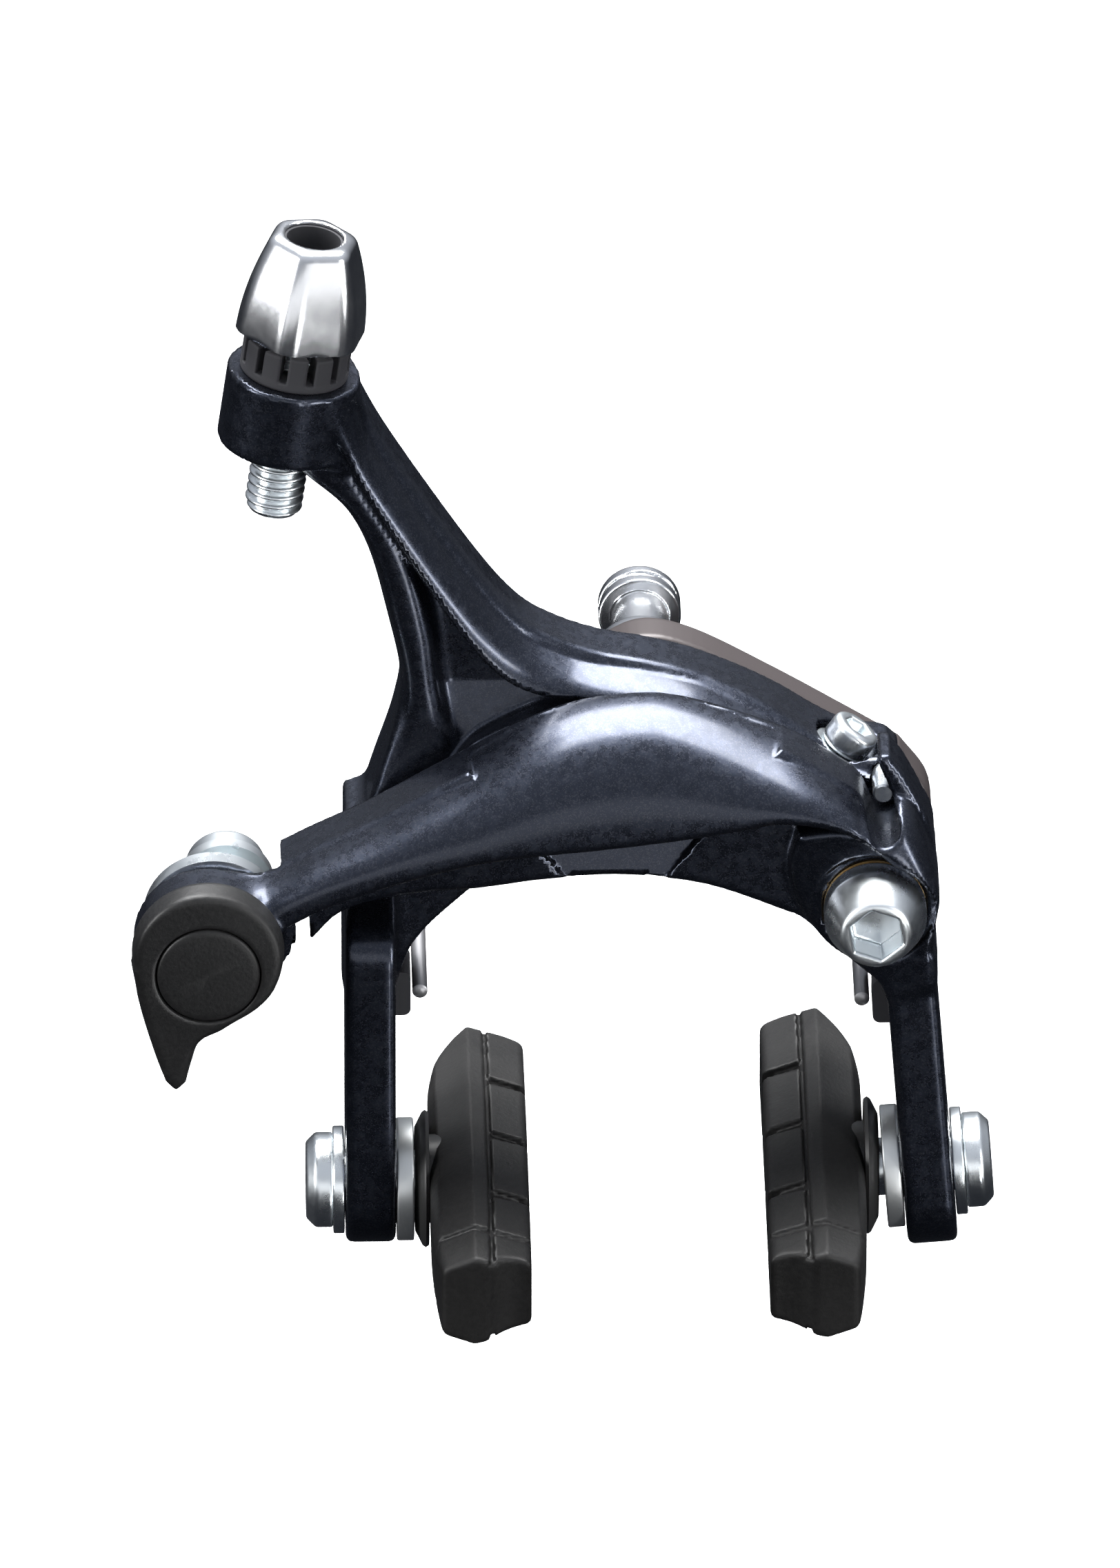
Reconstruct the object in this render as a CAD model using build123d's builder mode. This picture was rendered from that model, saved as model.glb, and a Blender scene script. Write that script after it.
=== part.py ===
from build123d import *
import math
import os

# Dual-pivot rim brake caliper, millimetres, +Z up.
# Origin: centre bolt axis on the rear mounting face. +X is the right-hand side seen from
# the front, and the front of the caliper looks along -Y. Depths are measured forward
# from the mounting face, so a depth d lies at y = -d.

os.makedirs("parts", exist_ok=True)

# ---- clearances -------------------------------------------------------------------
RUN = 0.05  # running fit, on the radius
GAP = 0.3  # free space between pieces that move past each other
FACE = 0.1  # space between flat faces that turn on each other

# ---- stack along the centre bolt ----------------------------------------------------
WASHER_T = 1.5
SPRING_ROOM = 3.6
BRACKET_T = 4.9
Y_ARM_T = 10.3
WEB_T = 6.0
FRONT_T = 5.5
BRACKET_REAR = WASHER_T + SPRING_ROOM
BRACKET_FRONT = BRACKET_REAR + BRACKET_T
Y_REAR = BRACKET_FRONT + FACE
Y_FRONT = Y_REAR + Y_ARM_T
NUT_T = 3.0
NUT_FLATS = 10.0
NUT_ROOM = 0.8
NUT_PATH = ((0, 0), (-1.2, -2.1), (-2.4, -4.2))  # the nut seen from the swinging arm
BOLT_PROUD = 0.6  # the bolt stands this far out of the nut
WEB_REAR = Y_FRONT + 1.0
WEB_FRONT = WEB_REAR + WEB_T
ARM_FRONT = WEB_FRONT + FRONT_T

# ---- centre bolt and its nuts -------------------------------------------------------
BOLT_R = 3.0
BOLT_REACH = 12.0  # how far the bolt stands out behind the mounting face
BUSH_R = 4.4
BUSH_T = 1.2
NUT_R = 4.0
NUT_RIM_R = 4.3
NUT_RIM_T = 1.3
NUT_START = 9.6
NUT_LEN = 3.4
HEX_SOCKET = 5.0
HUB_R = 3.9
WASHER_R = 5.3

# ---- side pivot ---------------------------------------------------------------------
PIVOT_X = 23.4
PIVOT_Z = -13.4
PIVOT_BOSS_R = 6.6
PIVOT_BOLT_R = 3.0
PIVOT_SLEEVE_R = 4.0
PIVOT_SEAT = WEB_FRONT + 2.0
PIVOT_HEAD_BASE_R = 5.3
PIVOT_HEAD_R = 3.7
PIVOT_HEAD_L = 6.6
PIVOT_HEAD_RIM = 2.4
PIVOT_SOCKET = 3.6

# ---- legs and shoes -----------------------------------------------------------------
LEG_DEPTH = 23.0  # depth of the middle of both legs
LEG_HALF = 6.5
LEG_T = 5.2
LEG_TOP_Z = -17.5
LEFT_LEG_X = -26.0  # inner face of the left leg
RIGHT_LEG_X = 26.5  # inner face of the right leg at the shoe bolt
RIGHT_LEAN = 4.4  # the right leg leans outward, in degrees
LEFT_BOLT_Z = -48.4
RIGHT_BOLT_Z = -47.3
SLOT_TRAVEL = 10.0
RIGHT_DROP = 2.0  # slot left below the right shoe bolt
SLOT_CLEAR = 0.2
SHOE_BOLT_R = 3.0
SHOE_HEAD_R = 4.95
SHOE_HEAD_T = 2.8
OUTER_WASHER_R = 5.6
OUTER_WASHER_T = 1.1
SPACER_R = 6.4
SPACER_T = 1.8
SEAT_WASHER_R = 5.6
SEAT_WASHER_T = 1.5
SHOE_T = 10.2
SHOE_LEN = 50.0
SHOE_RIDGE = 5.9  # half height at the ridge
SHOE_FACE = 4.0  # half height of the braking face
SHOE_BACK = 3.0
RIM_RADIUS = 306.0
GROOVE_PITCH = 12.0
GROOVE_W = 1.2
GROOVE_D = 1.4
RIGHT_PITCH = 2.0
SHOE_STUD = 4.0  # how far the bolt goes into the shoe's core

# ---- barrel adjuster ----------------------------------------------------------------
EYE_X = -36.7
EYE_Z = 38.0
EYE_TILT = 8.0
EYE_R = 6.85
EYE_H = 8.4
COLLAR_R = 5.6
COLLAR_H = 3.9
KNOB_R = 6.9
KNOB_TOP_R = 4.4
KNOB_H = 11.6
THREAD_R = 3.0
THREAD_CORE_R = 2.55
THREAD_PITCH = 1.0
ADJUSTER_LEN = 23.6
ADJUSTER_DROP = 8.2  # the threaded barrel ends this far below the knob's top
CABLE_R = 1.1
HOUSING_R = 2.8
SEAT_WALL = 0.4
SEAT_DEPTH = 5.6
SEAT_LIP = 0.4

# ---- quick release and cable anchor -------------------------------------------------
CAM_X = -45.4
CAM_Z = -17.0
CAM_R = 4.0
END_R = 7.6
END_REAR = 27.0
END_FRONT = ARM_FRONT + 0.5
LEVER_T = 3.2
CAP_R = 5.3
ANCHOR_DX = 2.0
ANCHOR_DZ = 3.0
ANCHOR_BOLT_R = 2.5
ANCHOR_HEAD_R = 4.2
ANCHOR_HEAD_T = 3.6
CLAMP_R = 5.0
CHEEK_T = 2.0
PLATE_T = 1.6
CABLE_ROOM = 1.8  # left open for the cable between the cheek and the clamp plate
LEVER_DISC_R = 8.0
LEVER_DISC_RISE = 1.6
CAP_SINK = 1.0
CAM_SQUARE = 2 * CAM_R - 1.6

# ---- centring screw and coupling pin --------------------------------------------------
SCREW_X = 19.9
SCREW_Z = -3.0
SCREW_ANGLE = 55.0  # axis in the arm plane, from +X
SCREW_R = 1.7
SCREW_LEN = 8.0
SCREW_HEAD_R = 2.6
SCREW_HEAD_H = 3.0
RING_R = 3.1
RING_T = 0.7
PIN_X = 24.4
PIN_Z = -3.6
PIN_R = 1.1
PIN_CLEAR = 0.4
PIN_LEN = 5.5
PIN_SEAT = 3.0
SCREW_HEX = 2.5
SCREW_HEX_DEPTH = 1.6

# ---- return spring --------------------------------------------------------------------
WIRE_R = 0.8
COIL_R = HUB_R + WIRE_R + RUN
COIL_DEPTH = WASHER_T + 2.0
COVER_R = 5.0
COVER_WALL = 0.7
BLOCK_T = 1.7  # plastic block between a spring foot and its leg
BLOCK_L = 5.0
BLOCK_W = 5.6
BLOCK_SHIFT = 2.4  # the block's middle lies this far behind the toe's end
TOE_LAP = 2.5
FOOT_DEPTH = LEG_DEPTH - LEG_HALF + TOE_LAP
LEFT_FOOT = (LEFT_LEG_X + BLOCK_T + WIRE_R + RUN, -28.6)
RIGHT_FACE_X = RIGHT_LEG_X - 1.3  # inner face of the right leg beside the spring's foot
RIGHT_FOOT = (RIGHT_FACE_X - BLOCK_T - WIRE_R - GAP, -30.0)


def save(body, name):
    body.label = name
    export_step(body, f"parts/{name}.step")


def level(depth):
    """The plane at one depth, looking forward, with X across and Z up."""
    return Plane.XZ.offset(depth)


def turned(x, z, rear, front, outer, inner=0.0):
    """A plain round piece or ring along Y between two depths."""
    with BuildPart() as body:
        with BuildSketch(level(rear)):
            with Locations((x, z)):
                Circle(outer)
                if inner > 0:
                    Circle(inner, mode=Mode.SUBTRACT)
        extrude(amount=front - rear)
    return body.part


def ring_on(plane, start, end, outer, inner):
    """A ring along a plane's normal between two offsets."""
    with BuildPart() as body:
        with BuildSketch(plane.offset(start)):
            Circle(outer)
            if inner > 0:
                Circle(inner, mode=Mode.SUBTRACT)
        extrude(amount=end - start)
    return body.part


# ======================================================================================
# Fixed pieces: what stays still on the frame
# ======================================================================================
with BuildPart() as centre_bolt:
    with BuildSketch(level(-BOLT_REACH)):
        Circle(BOLT_R)
    extrude(amount=BOLT_REACH + Y_FRONT + FACE + NUT_T + BOLT_PROUD)
    chamfer(centre_bolt.edges().filter_by(GeomType.CIRCLE), 0.5)
save(centre_bolt.part, "centre_bolt")

NUT_END = NUT_START + NUT_LEN
with BuildPart() as sleeve_nut:
    with BuildSketch(level(-NUT_END)):
        Circle(NUT_R)
    extrude(amount=NUT_LEN)
    for rim_end in (NUT_START + NUT_RIM_T, NUT_END):
        with BuildSketch(level(-rim_end)):
            Circle(NUT_RIM_R)
        extrude(amount=NUT_RIM_T)
    with BuildSketch(level(-BOLT_REACH)):
        Circle(BOLT_R)
    extrude(amount=BOLT_REACH, mode=Mode.SUBTRACT)
    with BuildSketch(level(-NUT_END)):
        RegularPolygon(HEX_SOCKET / 2, 6, major_radius=False)
    extrude(amount=NUT_END - BOLT_REACH, mode=Mode.SUBTRACT)
save(sleeve_nut.part, "sleeve_nut")

with BuildPart() as brake_washer:
    with BuildSketch(level(0)):
        Circle(WASHER_R)
        Circle(BOLT_R, mode=Mode.SUBTRACT)
    extrude(amount=WASHER_T)
    with BuildSketch(level(0)):
        with PolarLocations(WASHER_R, 24):
            Rectangle(0.8, 0.5)
    extrude(amount=WASHER_T - 0.4, mode=Mode.SUBTRACT)
save(brake_washer.part, "brake_washer")

# The bracket holds both pivots: a link plate from the centre hub to the side pivot,
# with a hub behind it for the spring and a lug in front for the centring screw.
screw_dir = Vector(math.cos(math.radians(SCREW_ANGLE)), 0, math.sin(math.radians(SCREW_ANGLE)))
TIP_X = SCREW_X - screw_dir.X * SCREW_LEN
TIP_Z = SCREW_Z - screw_dir.Z * SCREW_LEN
LUG_L = 5.0
LUG_W = 4.4
LUG_AHEAD = 2.6
SCREW_DEPTH = (Y_REAR + Y_FRONT) / 2

with BuildPart() as support_bracket:
    with BuildSketch(level(BRACKET_REAR)):
        with BuildLine():
            top = Spline((-5.6, 5.4), (-0.5, 7.9), (5.0, 6.8), (13.0, 2.4), (20.5, -2.2), (26.5, -6.0))
            right = Spline(top @ 1, (29.6, -10.6), (29.4, -16.2), (25.6, -19.9))
            low = Spline(right @ 1, (20.0, -19.0), (13.0, -14.0), (0.0, -9.8), (-7.6, -6.8))
            Spline(low @ 1, (-9.2, -1.0), top @ 0)
        make_face()
    extrude(amount=BRACKET_T)
    with BuildSketch(level(WASHER_T)):
        Circle(HUB_R)
    extrude(amount=SPRING_ROOM)
    lug_turn = SCREW_ANGLE - 90
    lug_reach = LUG_L / 2 + GAP
    with BuildSketch(level(BRACKET_FRONT)):
        with Locations(Location((TIP_X - screw_dir.X * lug_reach, TIP_Z - screw_dir.Z * lug_reach, 0),
                                (0, 0, lug_turn))):
            RectangleRounded(LUG_W, LUG_L, 0.8)
    extrude(amount=SCREW_DEPTH + LUG_AHEAD - BRACKET_FRONT)
    with BuildSketch(level(WASHER_T)):
        Circle(BOLT_R)
        with Locations((PIVOT_X, PIVOT_Z)):
            Circle(PIVOT_BOLT_R)
    extrude(amount=BRACKET_FRONT, mode=Mode.SUBTRACT)
save(support_bracket.part, "support_bracket")

save(turned(0, 0, BRACKET_FRONT, Y_FRONT + FACE, BUSH_R, BOLT_R), "centre_sleeve")

with BuildPart() as centre_locknut:
    with BuildSketch(level(Y_FRONT + FACE)):
        RegularPolygon(NUT_FLATS / 2, 6, major_radius=False)
        Circle(BOLT_R, mode=Mode.SUBTRACT)
    extrude(amount=NUT_T)
save(centre_locknut.part, "centre_locknut")

save(turned(PIVOT_X, PIVOT_Z, BRACKET_FRONT, PIVOT_SEAT + FACE, PIVOT_SLEEVE_R, PIVOT_BOLT_R), "side_sleeve")

head_rear = PIVOT_SEAT + FACE
with BuildPart() as side_pivot_bolt:
    with BuildSketch(level(BRACKET_REAR - 1.0)):
        with Locations((PIVOT_X, PIVOT_Z)):
            Circle(PIVOT_BOLT_R)
    extrude(amount=head_rear - BRACKET_REAR + 1.0)
    with BuildSketch(level(head_rear)):
        with Locations((PIVOT_X, PIVOT_Z)):
            Circle(PIVOT_HEAD_BASE_R)
    extrude(amount=PIVOT_HEAD_RIM)
    with BuildSketch(level(head_rear + PIVOT_HEAD_RIM)):
        with Locations((PIVOT_X, PIVOT_Z)):
            Circle(PIVOT_HEAD_BASE_R)
    with BuildSketch(level(head_rear + PIVOT_HEAD_L)):
        with Locations((PIVOT_X, PIVOT_Z)):
            Circle(PIVOT_HEAD_R)
    loft()
    with BuildSketch(level(head_rear + PIVOT_HEAD_L - PIVOT_SOCKET)):
        with Locations((PIVOT_X, PIVOT_Z)):
            RegularPolygon(HEX_SOCKET / 2, 6, major_radius=False)
    extrude(amount=PIVOT_SOCKET, mode=Mode.SUBTRACT)
save(side_pivot_bolt.part, "side_pivot_bolt")

# ---- return spring: a bow over the hub against a moulded disc, and one leg per arm -----


def leaves_bow_at(foot, side):
    """The angle on the bow, in degrees, where a straight leg to its foot is tangent."""
    reach = math.hypot(foot[0], foot[1])
    return math.degrees(math.atan2(foot[1], foot[0]) + side * math.acos(COIL_R / reach))


LEFT_END = leaves_bow_at(LEFT_FOOT, -1) + 360
RIGHT_END = leaves_bow_at(RIGHT_FOOT, 1)

with BuildPart() as spring_bow:
    with BuildLine(level(COIL_DEPTH)) as bow_path:
        CenterArc((0, 0), COIL_R, RIGHT_END, LEFT_END - RIGHT_END)
    with BuildSketch(Plane(bow_path.line @ 0, z_dir=bow_path.line % 0)):
        Circle(WIRE_R)
    sweep(path=bow_path.line)
save(spring_bow.part, "spring_bow")

COVER_REAR = WASHER_T + 0.2
save(turned(0, 0, COVER_REAR, COVER_REAR + COVER_WALL, COVER_R, HUB_R), "spring_cover")


def spring_leg(name, end_angle, side, foot):
    """One straight spring leg: it carries on from the bow, runs down, and its foot is
    bent forward to press on an arm."""
    turn = math.radians(end_angle)
    along = Vector(side * math.sin(turn), 0, -side * math.cos(turn))
    start = Vector(COIL_R * math.cos(turn), -COIL_DEPTH, COIL_R * math.sin(turn)) + along * GAP
    knee = Vector(foot[0], -COIL_DEPTH, foot[1])
    toe = Vector(foot[0], -FOOT_DEPTH, foot[1])
    with BuildPart() as leg:
        with BuildLine() as leg_path:
            FilletPolyline(start, knee, toe, radius=2.0)
        with BuildSketch(Plane(leg_path.wire() @ 0, z_dir=leg_path.wire() % 0)):
            Circle(WIRE_R)
        sweep(path=leg_path.wire())
    save(leg.part, name)


spring_leg("spring_left_leg", LEFT_END, -1, LEFT_FOOT)
spring_leg("spring_right_leg", RIGHT_END, 1, RIGHT_FOOT)

# ======================================================================================
# Leg planes: origin on the shoe bolt axis at the leg's inner face, Z outward, Y up
# ======================================================================================
lean = math.radians(RIGHT_LEAN)
RIGHT_WEDGE = SPACER_R * math.sin(lean) + FACE  # the leaning spacer needs this much more room
left_leg = Plane(
    origin=(LEFT_LEG_X, -LEG_DEPTH, LEFT_BOLT_Z), x_dir=(0, -1, 0), z_dir=(-1, 0, 0)
)
right_leg = Plane(
    origin=(RIGHT_LEG_X, -LEG_DEPTH, RIGHT_BOLT_Z),
    x_dir=(0, 1, 0),
    z_dir=(math.cos(lean), 0, math.sin(lean)),
)


def leg_blank(plane, drop, rise):
    """The flat leg with its round lower end, from below the slot up to a given rise."""
    with BuildPart() as blank:
        with BuildSketch(plane):
            with Locations((0, -drop)):
                Circle(LEG_HALF)
            with Locations((0, (rise - drop) / 2)):
                Rectangle(2 * LEG_HALF, rise + drop)
        extrude(amount=LEG_T)
        fillet(blank.edges().filter_by(Axis.Y, reverse=True).filter_by(GeomType.CIRCLE), 0.6)
    return blank.part


def leg_slot(plane, drop):
    """The shoe bolt slot through a leg."""
    with BuildPart() as slot:
        with BuildSketch(plane.offset(-1)):
            with Locations((0, SLOT_TRAVEL / 2 - drop)):
                SlotCenterToCenter(SLOT_TRAVEL, 2 * (SHOE_BOLT_R + SLOT_CLEAR), rotation=90)
        extrude(amount=LEG_T + 2)
    return slot.part


# ======================================================================================
# Y-arm: cable eye at the upper left, centre pivot, left leg, and the arch to the right
# ======================================================================================
eye_up = Vector(math.sin(math.radians(EYE_TILT)), 0, math.cos(math.radians(EYE_TILT)))
ARM_MID = (Y_REAR + Y_FRONT) / 2
eye = Plane(origin=(EYE_X, -ARM_MID, EYE_Z), x_dir=(0, 1, 0), z_dir=eye_up)
screw = Plane(origin=(SCREW_X, -SCREW_DEPTH, SCREW_Z), x_dir=(0, 1, 0), z_dir=screw_dir)

with BuildPart() as y_arm:
    with BuildSketch(level(Y_REAR)):
        with BuildLine():
            outer = Spline(
                (-30.6, 42.0), (-26.6, 33.0), (-18.2, 19.6), (-13.0, 13.4), (-6.0, 9.6), (0, 8.3),
                (6.0, 6.6), (13.0, 3.0), (20.5, -1.2), (25.4, -1.9)
            )
            nose = Spline(outer @ 1, (26.4, -3.6), (25.0, -5.5))
            under = Spline(nose @ 1, (18.5, -6.2), (12.5, -6.6), (6.0, -8.0), (0, -8.8), (-8.0, -10.0))
            inner = Spline(under @ 1, (-17.2, -15.8), (-22.0, -20.8), (-25.4, -26.0))
            foot = Line(inner @ 1, (-31.2, -26.0))
            back = Spline(
                foot @ 1, (-31.0, -15.0), (-28.0, -5.5), (-25.3, 2.7), (-24.9, 7.3), (-26.4, 14.7),
                (-28.2, 22.1), (-31.6, 27.6), (-35.6, 31.6)
            )
            Line(back @ 1, outer @ 0)
        make_face()
    extrude(amount=Y_ARM_T)
    with BuildSketch(eye.offset(-EYE_H / 2)):
        Circle(EYE_R)
    extrude(amount=EYE_H)
    add(leg_blank(left_leg, 0, LEG_TOP_Z - LEFT_BOLT_Z))
    add(leg_slot(left_leg, 0), mode=Mode.SUBTRACT)
    with BuildSketch(level(Y_REAR - 1)):
        Circle(BUSH_R + RUN + BUSH_T)
    extrude(amount=Y_ARM_T + 2, mode=Mode.SUBTRACT)
    with BuildSketch(level(Y_FRONT - PIN_SEAT)):
        with Locations((PIN_X, PIN_Z)):
            Circle(PIN_R)
    extrude(amount=PIN_SEAT + 1, mode=Mode.SUBTRACT)
    with BuildSketch(eye.offset(-EYE_H / 2 - 4)):
        Circle(THREAD_R + RUN)
    extrude(amount=EYE_H + 8, mode=Mode.SUBTRACT)
    with BuildSketch(eye.offset(EYE_H / 2)):
        Circle(EYE_R)
    extrude(amount=12, mode=Mode.SUBTRACT)
    with BuildSketch(screw):
        Circle(RING_R + GAP)
    extrude(amount=8, mode=Mode.SUBTRACT)
    with BuildSketch(screw.offset(-SCREW_LEN - 3)):
        Circle(SCREW_R + RUN)
    extrude(amount=SCREW_LEN + 8, mode=Mode.SUBTRACT)
save(y_arm.part, "y_arm")

save(turned(0, 0, Y_REAR, Y_FRONT, BUSH_R + RUN + BUSH_T, BUSH_R + RUN), "y_arm_bush")
save(turned(PIN_X, PIN_Z, Y_FRONT - PIN_SEAT, Y_FRONT + PIN_LEN, PIN_R), "coupling_pin")

# Plastic block that the spring foot presses on, fixed to the leg's inner face.
with BuildPart() as spring_left_block:
    with BuildSketch(Plane.XY.offset(LEFT_FOOT[1] - BLOCK_L / 2)):
        with Locations((LEFT_LEG_X, -FOOT_DEPTH + BLOCK_SHIFT)):
            Rectangle(BLOCK_T, BLOCK_W, align=(Align.MIN, Align.CENTER))
    extrude(amount=BLOCK_L)
    fillet(spring_left_block.edges().filter_by(Axis.Y).group_by(Axis.X)[-1], 0.8)
save(spring_left_block.part, "spring_left_block")

with BuildPart() as adjuster_collar:
    with BuildSketch(eye.offset(EYE_H / 2)):
        Circle(COLLAR_R)
    extrude(amount=COLLAR_H)
    with BuildSketch(eye.offset(EYE_H / 2 + 1.0)):
        with PolarLocations(COLLAR_R, 12, start_angle=15):
            Rectangle(0.8, 1.0)
    extrude(amount=COLLAR_H, mode=Mode.SUBTRACT)
    with BuildSketch(eye.offset(EYE_H / 2)):
        Circle(THREAD_R + RUN)
    extrude(amount=COLLAR_H, mode=Mode.SUBTRACT)
save(adjuster_collar.part, "adjuster_collar")

# ======================================================================================
# Barrel adjuster: knob, housing seat and threaded bolt
# ======================================================================================
KNOB_BASE = EYE_H / 2 + COLLAR_H + FACE

with BuildPart() as adjuster_knob:
    with BuildSketch(eye.offset(KNOB_BASE)):
        Circle(KNOB_R)
    with BuildSketch(eye.offset(KNOB_BASE + KNOB_H)):
        Circle(KNOB_TOP_R)
    loft()
    with BuildSketch(eye.offset(KNOB_BASE)):
        Circle(KNOB_R + 4)
        RegularPolygon(KNOB_R - 0.35, 6, major_radius=False, mode=Mode.SUBTRACT)
    extrude(amount=KNOB_H, mode=Mode.SUBTRACT)
    with BuildSketch(eye.offset(KNOB_BASE)):
        Circle(THREAD_R + RUN)
    extrude(amount=KNOB_H, mode=Mode.SUBTRACT)
    with BuildSketch(eye.offset(KNOB_BASE + KNOB_H - SEAT_DEPTH)):
        Circle(HOUSING_R + SEAT_WALL)
    extrude(amount=SEAT_DEPTH, mode=Mode.SUBTRACT)
save(adjuster_knob.part, "adjuster_knob")

SEAT_TOP = KNOB_BASE + KNOB_H - SEAT_LIP
SEAT_BASE = KNOB_BASE + KNOB_H - SEAT_DEPTH
save(ring_on(eye, SEAT_BASE, SEAT_TOP, HOUSING_R + SEAT_WALL, HOUSING_R), "housing_seat")

with BuildPart() as adjuster_bolt:
    bolt_top = KNOB_BASE + KNOB_H - ADJUSTER_DROP
    threads = int(ADJUSTER_LEN / THREAD_PITCH) - 1
    with BuildSketch(eye.offset(bolt_top - ADJUSTER_LEN)):
        Circle(THREAD_CORE_R)
    extrude(amount=ADJUSTER_LEN)
    for turn in range(threads):
        ridge = bolt_top - ADJUSTER_LEN + 0.6 + turn * THREAD_PITCH
        with BuildSketch(eye.offset(ridge)):
            Circle(THREAD_R)
        extrude(amount=THREAD_PITCH / 2)
    with BuildSketch(eye.offset(bolt_top - ADJUSTER_LEN)):
        Circle(CABLE_R)
    extrude(amount=ADJUSTER_LEN, mode=Mode.SUBTRACT)
save(adjuster_bolt.part, "adjuster_bolt")

# ======================================================================================
# Centring screw with its locking ring
# ======================================================================================
with BuildPart() as centring_screw:
    with BuildSketch(screw.offset(-SCREW_LEN)):
        Circle(SCREW_R)
    extrude(amount=SCREW_LEN + RING_T + RUN)
    with BuildSketch(screw.offset(RING_T + RUN)):
        Circle(SCREW_HEAD_R)
    extrude(amount=SCREW_HEAD_H)
    chamfer(centring_screw.edges().filter_by(GeomType.CIRCLE).sort_by(SortBy.DISTANCE)[-1:], 0.3)
    with BuildSketch(screw.offset(RING_T + SCREW_HEAD_H - SCREW_HEX_DEPTH)):
        RegularPolygon(SCREW_HEX / 2, 6, major_radius=False)
    extrude(amount=3, mode=Mode.SUBTRACT)
save(centring_screw.part, "centring_screw")
save(ring_on(screw, 0.05, RING_T, RING_R, SCREW_R + RUN), "centring_ring")

# The pin's path in the C-arm: up and to the left as both arms close.
PIN_RUN = Vector(2.6, 0, 6.2)
PIN_RUN_ANGLE = math.degrees(math.atan2(PIN_RUN.Z, -PIN_RUN.X))

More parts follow.
